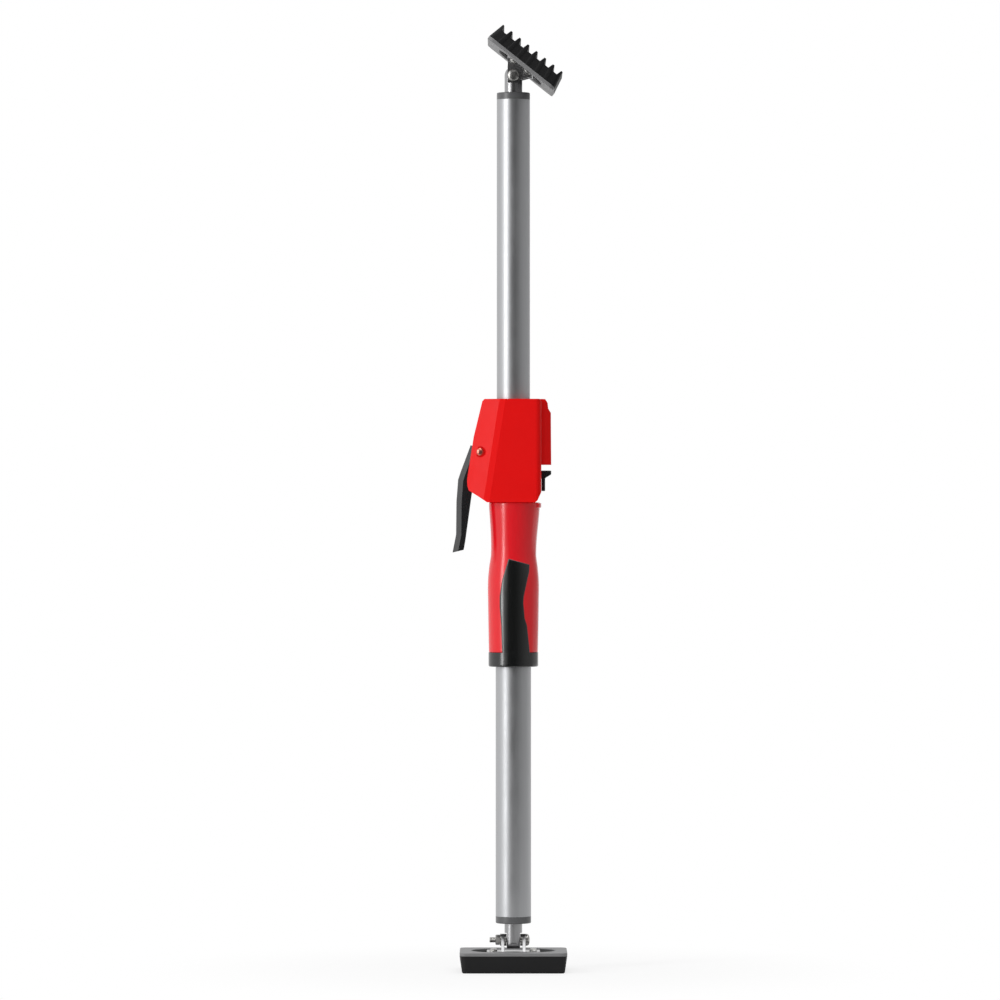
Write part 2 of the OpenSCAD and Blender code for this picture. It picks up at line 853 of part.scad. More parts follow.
module grip_sleeve() {
    profile = grip_profile(0);
    sleeve_h = grip_l - collar_h;
    color([0.85, 0.07, 0.08])
        translate([0, 0, collar_top_z])
            difference() {
                union() {
                    rotate_extrude()
                        polygon(concat([[0, 0]], profile, [[0, sleeve_h]]));
                    intersection() {
                        translate([0, 0, sleeve_h - ledge_h])
                            cylinder(r = ledge_reach, h = ledge_h - inlay_proud);
                        block([0, -ledge_half_w, 0], [ledge_reach, ledge_half_w, sleeve_h]);
                    }
                }
                translate([0, 0, -overrun])
                    cylinder(r = outer_r + fit_gap, h = sleeve_h + 2 * overrun);
                inlay_panels(inlay_t + fit_gap, overrun, fit_gap);
            }
}

module grip_inlay() {
    collar_r = grip_shares[0].x * grip_r + inlay_proud;
    bore_r = outer_r + fit_gap;
    color([0.08, 0.08, 0.09]) {
        translate([0, 0, grip_z])
            rotate_extrude()
                polygon([
                    [bore_r, 0], [collar_r - collar_edge_r, 0], [collar_r, collar_edge_r],
                    [collar_r, collar_h - fit_gap], [bore_r, collar_h - fit_gap]
                ]);
        translate([0, 0, collar_top_z])
            inlay_panels(inlay_t, inlay_proud, 0);
    }
}

// The housing's front corner by the lever, cut away along the leaning bevel
module side_cut(depth) {
    panel_x = -bevel_out - bevel_w;
    far = housing_left;
    panel_y = depth - bevel_drop;
    translate([0, 0, housing_z])
        rotate([0, bevel_lean, 0])
            linear_extrude(3 * housing_h, center = true)
                polygon([
                    [-bevel_out, -depth], [-bevel_out, -depth - housing_depth],
                    [panel_x - far, -depth - housing_depth],
                    [panel_x - far, -panel_y + far * tan(panel_angle)], [panel_x, -panel_y]
                ]);
}

// The housing's outer shape, moved in by d
module housing_block(d) {
    depth = half_depth - d;
    right = housing_right - d;
    corner = housing_corner_r - d;
    difference() {
        intersection() {
            translate([0, 0, housing_z])
                upright(2 * depth)
                    polygon(inset_points(housing_outline(), d));
            translate([right - housing_left - 2 * housing_right, 0, housing_z])
                linear_extrude(housing_h)
                    round_rect(2 * (housing_left + 2 * housing_right), 2 * depth, corner);
        }
        side_cut(depth);
        mirror([0, 1, 0])
            side_cut(depth);
    }
}

// The fin's outer shape, moved in by d
module fin_block(d) {
    reach = fin_reach - d;
    half_w = fin_w / 2 - d;
    root_x = housing_right - housing_corner_r;
    intersection() {
        translate([0, 0, housing_z])
            upright(fin_w - 2 * d)
                polygon(inset_points(fin_outline(), d));
        translate([0, 0, housing_z])
            linear_extrude(housing_h)
                polygon([
                    [root_x, -half_w], [reach - fin_chamfer, -half_w], [reach, fin_chamfer - half_w],
                    [reach, half_w - fin_chamfer], [reach - fin_chamfer, half_w], [root_x, half_w]
                ]);
    }
}

// Runs its children at each screw, with the rear along +Y
module at_screws() {
    for (s = screw_shares)
        translate([screw_place(s).x, 0, screw_place(s).y])
            children();
}

// Both halves of the housing as one shell
module housing_shell() {
    slot_y = lever_w / 2 + lever_clear;
    head_seat = screw_l / 2;
    neck_y = strut_half_w + move_gap;
    difference() {
        union() {
            difference() {
                union() {
                    housing_block(0);
                    fin_block(0);
                }
                housing_block(housing_wall);
                fin_block(housing_wall);
            }
            intersection() {
                housing_block(housing_wall / 2);
                union() {
                    at_screws()
                        bar_y(boss_r, -half_depth, half_depth);
                    for (y = [-1, 1])
                        translate([-lever_pin_out, y * (lug_in + lug_t + move_gap + half_depth), pin_z])
                            bar_y(pin_hollow_d / 2 + housing_wall / 2, -half_depth, half_depth);
                }
            }
        }
        translate([0, 0, housing_z - overrun])
            cylinder(r = outer_r + fit_gap, h = tube_top_z - housing_z);
        translate([0, 0, housing_top_z - housing_wall - overrun])
            cylinder(r = inner_r + drive_gap, h = housing_wall + 2 * overrun);
        block(
            [-2 * housing_left, -slot_y, housing_z - overrun],
            [-slot_out, slot_y, pin_z + lever_hub_r + lever_clear]
        );
        block(
            [strut_x, -neck_y, tab_z - tab_t - tab_slope_h - move_gap],
            [fin_reach + overrun, neck_y, tab_z + release_travel + move_gap]
        );
        translate([-lever_pin_out, 0, pin_z]) {
            bar_y(lever_pin_d / 2 + fit_gap, -half_depth, half_depth);
            bar_y(pin_hollow_d / 2, pin_seat, half_depth + overrun);
            bar_y(pin_hollow_d / 2, -half_depth - overrun, -pin_seat);
        }
        at_screws() {
            bar_y(screw_d / 2 + fit_gap, -head_seat - overrun, half_depth);
            bar_y(screw_head_d / 2 + fit_gap, head_seat, half_depth + overrun);
        }
    }
}

module housing_front() {
    color([0.88, 0.07, 0.08])
        intersection() {
            housing_shell();
            block(
                [-2 * housing_left, -housing_depth, housing_z - overrun],
                [2 * fin_reach, 0, housing_top_z + overrun]
            );
        }
}

module housing_rear() {
    color([0.8, 0.06, 0.07])
        intersection() {
            housing_shell();
            block(
                [-2 * housing_left, 0, housing_z - overrun],
                [2 * fin_reach, housing_depth, housing_top_z + overrun]
            );
        }
}

module housing_screws() {
    color([0.25, 0.25, 0.26])
        at_screws() {
            bar_y(screw_d / 2, -screw_l / 2, screw_l / 2 + bury);
            translate([0, screw_l / 2, 0])
                rotate([-90, 0, 0])
                    dome(screw_head_d, screw_head_h);
        }
}

// A flat part of the frame from the cheeks' right to the plates' left
module frame_shelf(z, t, right) {
    block([-cheek_left, -frame_half_w, z], [right, frame_half_w, z + t]);
    block([-plate_left, -bevel_half_w, z], [-cheek_left + bury, bevel_half_w, z + t]);
}

module mechanism_frame() {
    lug_root = [shelf_z - pin_z + bury, lever_pin_out - fulcrum_out - frame_t];
    base_hole_r = outer_r + fit_gap;
    shelf_hole_r = inner_r + drive_gap;
    color([0.6, 0.61, 0.62])
        difference() {
            union() {
                block(
                    [-frame_right, -frame_half_w, frame_z],
                    [frame_right, frame_half_w, frame_z + frame_t]
                );
                frame_shelf(shelf_z, shelf_t, frame_right);
                frame_shelf(frame_top_z - frame_t, frame_t, cheek_right);
                block(
                    [-fulcrum_out - frame_t, -lock_heel_half_w - frame_t, shelf_z],
                    [-plate_left + bury, lock_heel_half_w + frame_t, shelf_top_z]
                );
                for (y = [-frame_half_w, frame_half_w - frame_t])
                    block([-cheek_left, y, frame_z], [cheek_right, y + frame_t, frame_top_z]);
                block(
                    [-fulcrum_out - frame_t, -lock_heel_half_w, shelf_z],
                    [-fulcrum_out + frame_t / 2, lock_heel_half_w, fulcrum_z - move_gap]
                );
                for (y = [-1, 1])
                    translate([-lever_pin_out, y * (lug_in + lug_t / 2), pin_z])
                        upright(lug_t)
                            eye_outline(
                                lug_r, [lug_root.y, lug_root.x],
                                [lever_pin_out - plate_left - lug_t, lug_root.x], -1
                            );
            }
            translate([0, 0, frame_z - overrun])
                cylinder(r = base_hole_r, h = frame_t + 2 * overrun);
            translate([0, 0, shelf_z - overrun])
                cylinder(r = shelf_hole_r, h = frame_top_z);
            translate([-lever_pin_out, 0, pin_z])
                bar_y(lever_pin_d / 2 + fit_gap, -frame_half_w, frame_half_w);
        }
}

module lever_pin() {
    color([0.72, 0.6, 0.42])
        translate([-lever_pin_out, 0, pin_z]) {
            bar_y(lever_pin_d / 2, -pin_seat - bury, pin_seat + bury);
            for (turn = [-90, 90])
                rotate([turn, 0, 0])
                    translate([0, 0, pin_seat])
                        dome(pin_head_d, pin_head_h);
        }
}

// A wedge that takes the back edge off the lever between two points of its outline
module back_wedge(a, b) {
    along = b - a;
    turn = atan2(along.y, along.x);
    length = norm(along) + 2 * overrun;
    translate([a.x, 0, a.y])
        rotate([0, -turn, 0])
            translate([-overrun, -lever_w / 2, 0])
                rotate([90, 0, 90])
                    linear_extrude(length)
                        polygon([
                            [-overrun, -overrun], [lever_chamfer_w, -overrun],
                            [lever_chamfer_w, 0], [0, lever_chamfer_d], [-overrun, lever_chamfer_d]
                        ]);
}

module pump_lever() {
    back = scaled(lever_back_shares, lever_reach, lever_drop);
    front = scaled(lever_front_shares, lever_reach, lever_drop);
    color([0.07, 0.07, 0.08])
        translate([-lever_pin_out, 0, pin_z])
            difference() {
                union() {
                    upright(lever_w)
                        polygon(lever_outline());
                    bar_y(lever_hub_r, -lever_w / 2, lever_w / 2);
                }
                for (i = [0 : len(back) - 2], y = [0, 1])
                    mirror([0, y, 0])
                        back_wedge(back[i], back[i + 1]);
                upright(lever_w - 2 * lever_wall)
                    polygon([
                        back[2] + [2 * lever_wall, 0], back[3] + [2 * lever_wall, 0],
                        back[4] + [2 * lever_wall, 0], front[1] + [2 * overrun, 0],
                        front[3] + [2 * overrun, 0], front[4] + [2 * overrun, 0]
                    ]);
                bar_y(lever_pin_d / 2 + pin_gap, -lever_w, lever_w);
            }
}

module drive_plate() {
    color([0.5, 0.5, 0.52])
        translate([0, 0, drive_z])
            difference() {
                linear_extrude(drive_plate_t) polygon([
                    [-drive_left, -drive_tongue_half_w], [-plate_left, -drive_tongue_half_w],
                    [-plate_left, -plate_half_w], [drive_right, -plate_half_w],
                    [drive_right, plate_half_w], [-plate_left, plate_half_w],
                    [-plate_left, drive_tongue_half_w], [-drive_left, drive_tongue_half_w]
                ]);
                translate([0, 0, -overrun])
                    cylinder(r = inner_r + drive_gap, h = drive_plate_t + 2 * overrun);
            }
}

// Height of the lock plates' top at x, with the plates tilted at rest
function lock_top_z(x) =
    fulcrum_z + lock_stack / cos(lock_tilt) - (x + fulcrum_out) * tan(lock_tilt);

module lock_plates() {
    color([0.45, 0.45, 0.47])
        translate([-fulcrum_out, 0, fulcrum_z])
            rotate([0, lock_tilt, 0])
                translate([fulcrum_out, 0, 0])
                    for (i = [0 : lock_plate_count - 1])
                        translate([0, 0, i * (lock_plate_t + move_gap)])
                            difference() {
                                linear_extrude(lock_plate_t) polygon([
                                    [-lock_left, -lock_heel_half_w], [-plate_left, -plate_half_w],
                                    [plate_left, -plate_half_w], [drive_right, -lock_tongue_half_w],
                                    [lock_right, -lock_tongue_half_w], [lock_right, lock_tongue_half_w],
                                    [drive_right, lock_tongue_half_w], [plate_left, plate_half_w],
                                    [-plate_left, plate_half_w], [-lock_left, lock_heel_half_w]
                                ]);
                                translate([-i * move_gap / 2, 0, -overrun])
                                    cylinder(r = inner_r + lock_gap, h = lock_plate_t + 2 * overrun);
                            }
}

// A coil of round wire between a lower and an upper seat, which gives each point's height
module coil(centres, outs) {
    last = len(centres) - 1;
    rings = [
        for (i = [0 : last])
            let (heading = unit(centres[min(i + 1, last)] - centres[max(i - 1, 0)]))
            wire_ring(centres[i], heading, unit(outs[i] - heading * (outs[i] * heading)))
    ];
    points = [for (r = rings, p = r) p];
    sides = [
        for (i = [0 : last - 1], k = [0 : 5])
            let (a = 6 * i + k, b = 6 * i + (k + 1) % 6)
            each [[a, b, b + 6], [a, b + 6, a + 6]]
    ];
    start = [for (k = [1 : 4]) [0, k + 1, k]];
    end = [for (k = [1 : 4]) [6 * last, 6 * last + k, 6 * last + k + 1]];
    polyhedron(points, concat(sides, start, end));
}

module drive_spring() {
    low = drive_z + drive_plate_t + wire_d / 2 + fit_gap;
    high = shelf_z - wire_d / 2 - fit_gap;
    steps = drive_spring_turns * rings_per_turn;
    outs = [for (i = [0 : steps]) let (a = 360 * i / rings_per_turn) [cos(a), sin(a), 0]];
    color([0.55, 0.56, 0.58])
        coil([for (i = [0 : steps]) spring_r * outs[i] + [0, 0, low + (high - low) * i / steps]], outs);
}

module lock_spring() {
    high = frame_top_z - frame_t - wire_d / 2 - fit_gap;
    steps = lock_spring_turns * rings_per_turn;
    outs = [for (i = [0 : steps]) let (a = 360 * i / rings_per_turn) [cos(a), sin(a), 0]];
    seat = wire_d / 2 + 2 * fit_gap;
    color([0.55, 0.56, 0.58])
        coil([
            for (i = [0 : steps])
                let (low = lock_top_z(spring_r * outs[i].x) + seat)
                spring_r * outs[i] + [0, 0, low + (high - low) * i / steps]
        ], outs);
}

module release_slider() {
    wall_x = housing_right + move_gap;
    thumb_x = wall_x + thumb_t;
    strut_top_z = fulcrum_z - (strut_x + strut_t + fulcrum_out) * tan(lock_tilt) - move_gap;
    neck_z = tab_z - tab_t - tab_slope_h;
    color([0.07, 0.07, 0.08]) {
        block(
            [strut_x, -strut_half_w, neck_z - tab_slope_h],
            [strut_x + strut_t, strut_half_w, strut_top_z]
        );
        block([strut_x, -strut_half_w, neck_z], [thumb_x, strut_half_w, tab_z]);
        upright(2 * tab_half_w)
            polygon([
                [wall_x, tab_z - thumb_h], [thumb_x, tab_z - thumb_h], [thumb_x, neck_z],
                [tab_reach, tab_z - tab_t], [tab_reach, tab_z], [wall_x, tab_z]
            ]);
    }
}

foot_pad();
foot_plate();
foot_bracket();
foot_rivets();
foot_bolt();
foot_nut();
foot_washers();
foot_stem();
foot_cap();
outer_tube();
tube_guide();
grip_sleeve();
grip_inlay();
housing_front();
housing_rear();
housing_screws();
mechanism_frame();
lever_pin();
pump_lever();
drive_plate();
drive_spring();
lock_plates();
lock_spring();
release_slider();
tube_glide();
inner_tube();
head_cap();
head_stem();
head_pad();
head_plate();
head_bracket();
head_rivets();
head_bolt();
head_nut();
head_washers();
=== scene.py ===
"""Looks of a short telescopic support pole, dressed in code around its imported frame.

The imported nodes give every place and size. One operator dresses each piece or group of like
pieces, and main() runs them from the stage to the inner parts. Lengths are in metres.
"""

import json
import math

import bmesh
import bpy
import numpy as np
from bpy.props import FloatProperty, FloatVectorProperty, PointerProperty
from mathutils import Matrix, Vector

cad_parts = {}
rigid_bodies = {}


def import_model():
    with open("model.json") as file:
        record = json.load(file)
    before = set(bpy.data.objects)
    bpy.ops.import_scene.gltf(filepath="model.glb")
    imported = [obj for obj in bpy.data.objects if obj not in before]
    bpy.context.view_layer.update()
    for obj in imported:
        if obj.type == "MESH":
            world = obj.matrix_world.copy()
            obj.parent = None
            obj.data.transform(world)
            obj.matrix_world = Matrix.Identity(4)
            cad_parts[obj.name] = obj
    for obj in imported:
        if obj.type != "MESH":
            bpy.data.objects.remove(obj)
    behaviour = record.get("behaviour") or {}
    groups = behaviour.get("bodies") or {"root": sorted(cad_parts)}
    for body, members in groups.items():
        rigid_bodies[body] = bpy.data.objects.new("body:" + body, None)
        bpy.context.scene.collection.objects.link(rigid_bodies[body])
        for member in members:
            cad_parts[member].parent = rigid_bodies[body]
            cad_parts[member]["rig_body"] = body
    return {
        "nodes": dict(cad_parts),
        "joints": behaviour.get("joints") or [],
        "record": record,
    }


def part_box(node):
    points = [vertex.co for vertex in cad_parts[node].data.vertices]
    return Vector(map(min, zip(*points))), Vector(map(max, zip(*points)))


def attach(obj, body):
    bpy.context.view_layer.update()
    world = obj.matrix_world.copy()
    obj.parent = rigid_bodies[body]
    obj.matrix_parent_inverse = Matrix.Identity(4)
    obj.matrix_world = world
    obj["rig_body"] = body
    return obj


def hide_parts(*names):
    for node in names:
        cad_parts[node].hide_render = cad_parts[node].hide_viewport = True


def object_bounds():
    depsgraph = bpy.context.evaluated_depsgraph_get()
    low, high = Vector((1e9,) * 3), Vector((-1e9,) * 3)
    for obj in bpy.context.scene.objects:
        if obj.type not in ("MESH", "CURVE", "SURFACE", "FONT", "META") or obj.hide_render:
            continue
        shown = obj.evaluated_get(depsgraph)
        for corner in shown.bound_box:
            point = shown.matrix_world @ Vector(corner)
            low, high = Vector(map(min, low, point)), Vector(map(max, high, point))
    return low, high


bl_info = {
    "name": "Support Pole Looks",
    "version": (1, 0, 0),
    "blender": (4, 5, 0),
    "location": "3D View > Sidebar > Support Pole",
    "description": "Dresses a telescopic support pole and its studio",
    "category": "Object",
}

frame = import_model()
CAD_LOW, CAD_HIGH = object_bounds()

MM = 0.001
MERGE = 1e-6
FLAT_ANGLE = math.radians(0.6)
CREASE_ANGLE = math.radians(34)
BEVEL_ANGLE = math.radians(26)
BEVEL_SEGMENTS = 3
ROUND_STEPS = 128
# The largest share of an outline's side that a rounded corner may take
LARGEST_CUT = 0.24
# Normals past these belong to the lever's outer side and to its flanks
OUTER_NORMAL_X, FLANK_NORMAL_Y = -0.5, 0.9
PIVOTS = {j["name"]: np.array(j["pos_m"]) for j in frame["joints"] if "pos_m" in j}
HEAD_AXIS = next(m["axis"] for m in frame["record"]["mounts"] if m["name"] == "head_face")
HEAD_TILT = math.atan2(HEAD_AXIS[0], HEAD_AXIS[2])


def length(label, text, default):
    """A property for a small size in metres."""
    return FloatProperty(name=label, description=text, default=default, unit="LENGTH", precision=5)


def colour(label, text, default):
    """A property for a surface's base colour."""
    return FloatVectorProperty(
        name=label, description=text, default=default, subtype="COLOR", size=3, min=0, max=1
    )


class PoleSizes(bpy.types.PropertyGroup):
    """Small sizes that finish the pieces."""

    moulded_edge: length("Moulded edge", "Radius on the housing's edges", 0.9 * MM)
    lever_edge: length("Lever edge", "Radius on the lever's and tab's edges", 0.7 * MM)
    lever_back: length("Lever back", "Radius on the long edges of the lever's outer side", 4.6 * MM)
    sheet_edge: length("Sheet edge", "Radius on the brackets' edges", 0.45 * MM)
    pad_edge: length("Pad edge", "Radius on the pads' ridges and rims", 0.35 * MM)
    plate_edge: length("Plate edge", "Radius on the plates' rims", 0.7 * MM)
    tube_edge: length("Tube edge", "Radius on the tubes' ends", 0.25 * MM)
    cap_edge: length("Cap edge", "Radius on the caps' rims", 0.9 * MM)
    grip_edge: length("Grip edge", "Radius on the grip's ends", 0.8 * MM)
    grip_lean: length("Grip lean", "How far the grip's top leans to the release side", 0.9 * MM)
    inlay_rim: length("Inlay rim", "Width over which the inlay rounds off", 0.9 * MM)
    inlay_proud: length("Inlay height", "How far the inlay stands over the sleeve", 0.3 * MM)
    thread_depth: length("Thread depth", "Depth of the bolts' threads", 0.3 * MM)
    thread_pitch: length("Thread pitch", "Pitch of the bolts' threads", 0.8 * MM)


class PoleColours(bpy.types.PropertyGroup):
    """Base colours of the finishes."""

    housing_red: colour("Housing red", "Moulded housing", (0.74, 0.003, 0.003))
    grip_red: colour("Grip red", "Moulded grip", (0.70, 0.005, 0.012))
    inlay_black: colour("Inlay black", "Soft rubber of the inlay", (0.0045, 0.005, 0.005))
    lever_black: colour("Lever black", "Lever and release tab", (0.008, 0.008, 0.009))
    pad_black: colour("Pad black", "Rubber of the pads", (0.008, 0.008, 0.0085))
    plate_grey: colour("Plate grey", "Moulded plates of the pads", (0.175, 0.175, 0.178))
    cap_grey: colour("Cap grey", "Moulded caps", (0.092, 0.093, 0.096))
    tube_zinc: colour("Tube zinc", "Plated tubes", (0.43, 0.435, 0.445))
    sheet_zinc: colour("Sheet zinc", "Plated brackets and stems", (0.35, 0.35, 0.355))
    bolt_zinc: colour("Bolt zinc", "Plated bolts, nuts, washers and rivets", (0.42, 0.415, 0.40))
    pin_bronze: colour("Pin bronze", "Passivated lever pin", (0.62, 0.21, 0.16))
    plate_steel: colour("Plate steel", "Hardened clamp plates", (0.3, 0.3, 0.31))
    spring_steel: colour("Spring steel", "Bright spring wire", (0.45, 0.46, 0.48))
    glide_white: colour("Glide white", "Nylon glide", (0.75, 0.75, 0.7))
    screw_black: colour("Screw black", "Blackened screws", (0.05, 0.05, 0.052))


class PoleStudio(bpy.types.PropertyGroup):
    """Strengths of the studio's lamps and screens."""

    key_watts: FloatProperty(name="Key", description="Tall narrow softbox at the front left", default=26)
    top_watts: FloatProperty(name="Top", description="Wide softbox overhead", default=22)
    sky: FloatProperty(name="Sky", description="Light of the surroundings", default=0.67)
    dark_front: FloatProperty(
        name="Dark front", description="How bright gloss sees the screen in front", default=0.015
    )
    dark_side: FloatProperty(
        name="Dark side", description="How bright gloss sees the screen at the right", default=0.5
    )
    dim_side: FloatProperty(
        name="Dim side", description="Soft light that comes from the screen at the right", default=0.25
    )


# Surfaces


def grid_faces(rows, columns, wrap_rows=False, wrap_columns=False):
    """Quads of a grid of points: each point with its next ones along both ways."""
    row, column = np.meshgrid(
        np.arange(rows if wrap_rows else rows - 1),
        np.arange(columns if wrap_columns else columns - 1),
        indexing="ij",
    )
    row, column = row.ravel(), column.ravel()
    next_row, next_column = (row + 1) % rows, (column + 1) % columns
    return np.stack(
        [
            row * columns + column,
            next_row * columns + column,
            next_row * columns + next_column,
            row * columns + next_column,
        ],
        axis=1,
    )


def slab(front, back):
    """Two grids of the same outline joined along their rims into one closed skin."""
    rows, columns = front.shape[:2]
    index = np.arange(rows * columns).reshape(rows, columns)
    rim = np.concatenate([index[0, :-1], index[:-1, -1], index[-1, :0:-1], index[:0:-1, 0]])
    after, under = np.roll(rim, -1), rows * columns
    sides = np.stack([rim, after, after + under, rim + under], axis=1)
    sheet = grid_faces(rows, columns)
    faces = np.concatenate([sheet, sheet[:, ::-1] + under, sides])
    return np.concatenate([front.reshape(-1, 3), back.reshape(-1, 3)]), faces


def softened_profile(corners, setback, steps=6):
    """Corners of a closed outline rounded off.

    Each corner becomes a parabola that touches both sides at the setback, held by one more
    point on each side at twice the setback, so the flats stay flat in shading.
    """
    corners = np.asarray(corners, float)
    back = np.roll(corners, 1, axis=0) - corners
    ahead = np.roll(corners, -1, axis=0) - corners
    reach_back = np.linalg.norm(back, axis=1, keepdims=True)
    reach_ahead = np.linalg.norm(ahead, axis=1, keepdims=True)
    cut = np.broadcast_to(np.asarray(setback, float), len(corners))[:, None]
    cut = np.minimum(cut, LARGEST_CUT * np.minimum(reach_back, reach_ahead))
    start, end = corners + back / reach_back * cut, corners + ahead / reach_ahead * cut
    t = np.linspace(0, 1, steps)[None, :, None]
    arc = (1 - t) ** 2 * start[:, None] + 2 * t * (1 - t) * corners[:, None] + t**2 * end[:, None]
    hold_back = corners + back / reach_back * 2 * cut
    hold_ahead = corners + ahead / reach_ahead * 2 * cut
    return np.concatenate([hold_back[:, None], arc, hold_ahead[:, None]], axis=1).reshape(-1, 2)


def flowing(at, places, values):
    """Smooth curve through a table: cubic pieces whose slope at a point is its neighbours' mean."""
    places, values = np.asarray(places, float), np.asarray(values, float)
    slopes = np.gradient(values, places)
    k = np.clip(np.searchsorted(places, at) - 1, 0, len(places) - 2)
    step = places[k + 1] - places[k]
    t = np.clip((at - places[k]) / step, 0, 1)
    return (
        (2 * t**3 - 3 * t**2 + 1) * values[k]
        + (t**3 - 2 * t**2 + t) * step * slopes[k]
        + (3 * t**2 - 2 * t**3) * values[k + 1]
        + (t**3 - t**2) * step * slopes[k + 1]
    )


def ramp(at, low, high):
    """Smooth step from 0 at low to 1 at high."""
    t = np.clip((at - low) / (high - low), 0, 1)
    return t * t * (3 - 2 * t)


def ring(profile, steps=ROUND_STEPS):
    """A closed outline of radius and height carried once round the pole's axis."""
    turn = np.linspace(0, 2 * np.pi, steps, endpoint=False)
    radius, height = profile[:, 0, None], profile[:, 1, None]
    points = np.stack(
        [radius * np.cos(turn), radius * np.sin(turn), height + 0 * turn], axis=-1
    )
    return points.reshape(-1, 3), grid_faces(len(profile), steps, True, True)


def turned(points, axis, degrees):
    """Points turned about one of the axes through the origin."""
    angle = math.radians(degrees)
    c, s = math.cos(angle), math.sin(angle)
    a, b = [(1, 2), (2, 0), (0, 1)][axis]
    out = points.copy()
    out[:, a] = c * points[:, a] - s * points[:, b]
    out[:, b] = s * points[:, a] + c * points[:, b]
    return out


def at_foot(points):
    """Points round a pivot at the origin, moved to the foot's pivot."""
    return points + PIVOTS["foot_tilt"]


def at_head(points):
    """The same points turned over, turned a quarter, tilted and moved to the head's pivot."""
    over = turned(turned(points, 0, 180), 2, 180)
    quarter = turned(over, 2, 90)
    return turned(quarter, 1, math.degrees(HEAD_TILT)) + PIVOTS["head_tilt"]


def finish_mesh(mesh):
    """Smooth shading, with an edge kept sharp where its faces meet at a clear angle."""
    mesh.polygons.foreach_set("use_smooth", np.ones(len(mesh.polygons), bool))
    mesh.set_sharp_from_angle(angle=CREASE_ANGLE)


def new_piece(name, sheets, node, material, edge=0):
    """One mesh from closed sheets of points and faces, riding on the body of the node it replaces.

    With an edge, a Bevel rounds every clear edge by that radius.
    """
    starts = np.cumsum([0] + [len(points) for points, _ in sheets])
    faces = [face for (_, quads), start in zip(sheets, starts) for face in (quads + start).tolist()]
    mesh = bpy.data.meshes.new(name)
    mesh.from_pydata(np.concatenate([points for points, _ in sheets]).tolist(), [], faces)
    work = bmesh.new()
    work.from_mesh(mesh)
    bmesh.ops.remove_doubles(work, verts=work.verts, dist=MERGE)
    bmesh.ops.recalc_face_normals(work, faces=work.faces)
    work.to_mesh(mesh)
    work.free()
    add_piece(name, mesh, node, material, edge)


def softened_copy(name, node, material, edge, wide=None, least_angle=BEVEL_ANGLE):
    """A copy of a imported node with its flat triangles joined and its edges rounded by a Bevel.

    With a wide radius, the long edges of its outer side, where a face looks towards -X, get that.
    """
    work = bmesh.new()
    work.from_mesh(frame["nodes"][node].data)
    bmesh.ops.remove_doubles(work, verts=work.verts, dist=10 * MERGE)
    bmesh.ops.dissolve_limit(
        work, angle_limit=FLAT_ANGLE, verts=work.verts, edges=work.edges, use_dissolve_boundaries=False
    )
    if wide:
        work.normal_update()
        weight = work.edges.layers.float.new("bevel_weight_edge")
        for line in work.edges:
            if len(line.link_faces) == 2 and line.calc_face_angle() > BEVEL_ANGLE:
                outer = min(face.normal.x for face in line.link_faces) < OUTER_NORMAL_X
                side = max(abs(face.normal.y) for face in line.link_faces) > FLANK_NORMAL_Y
                line[weight] = 1 if outer and side else edge / wide
    mesh = bpy.data.meshes.new(name)
    work.to_mesh(mesh)
    work.free()
    if "custom_normal" in mesh.attributes:
        mesh.attributes.remove(mesh.attributes["custom_normal"])
    add_piece(name, mesh, node, material, edge, wide, least_angle)


def add_piece(name, mesh, node, material, edge, wide=None, least_angle=BEVEL_ANGLE):
    """Links a finished mesh into the scene, rides it on the body of the node it stands for and hides
    that node.
    """
    piece = bpy.data.objects.new(name, mesh)
    bpy.context.scene.collection.objects.link(piece)
    mesh.materials.clear()
    mesh.materials.append(material)
    finish_mesh(mesh)
    if edge:
        bevel = piece.modifiers.new("Rounded edges", "BEVEL")
        bevel.width = wide or edge
        bevel.segments = BEVEL_SEGMENTS
        bevel.limit_method = "WEIGHT" if wide else "ANGLE"
        bevel.angle_limit = least_angle
        bevel.miter_outer = "MITER_ARC"
        shading = piece.modifiers.new("Even shading", "WEIGHTED_NORMAL")
        shading.keep_sharp = True
    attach(piece, frame["nodes"][node]["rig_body"])
    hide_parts(node)


def dress(material, *nodes):
    """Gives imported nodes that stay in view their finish."""
    for node in nodes:
        packed = frame["nodes"][node]
        if not packed.material_slots:
            packed.data.materials.append(material)
        for place in packed.material_slots:
            place.material = material


# Finishes

FINE_GRAIN = 0.35
STREAK_STRETCH = (1, 1, 0.012)
SMEAR_SCALE = 9.0
SMEAR_STRETCH = (1, 1, 0.4)
PLASTIC_MARKS, METAL_MARKS = 26, 18
PLASTIC_WEAR, METAL_WEAR = 0.22, 0.25
# What the marks add to the roughness on average, taken off again
PLASTIC_MEAN, METAL_MEAN = 0.055, 0.06
PLASTIC_BUMP, METAL_BUMP = 0.5, 0.4


def node_group(name, inputs, outputs):
    """An empty shader group with the named value inputs and outputs."""
    group = bpy.data.node_groups.new(name, "ShaderNodeTree")
    for label, default in inputs.items():
        socket = group.interface.new_socket(label, in_out="INPUT", socket_type="NodeSocketFloat")
        socket.default_value = default
    for label in outputs:
        group.interface.new_socket(label, in_out="OUTPUT", socket_type="NodeSocketFloat")
    return group, group.nodes.new("NodeGroupInput"), group.nodes.new("NodeGroupOutput")


def maths(tree, operation, first, second, clamp=False):
    """A Math node; each operand is a socket or a number."""
    node = tree.nodes.new("ShaderNodeMath")
    node.operation = operation
    node.use_clamp = clamp
    for socket, value in zip(node.inputs, (first, second)):
        if isinstance(value, (int, float)):
            socket.default_value = value
        else:
            tree.links.new(value, socket)
    return node.outputs[0]


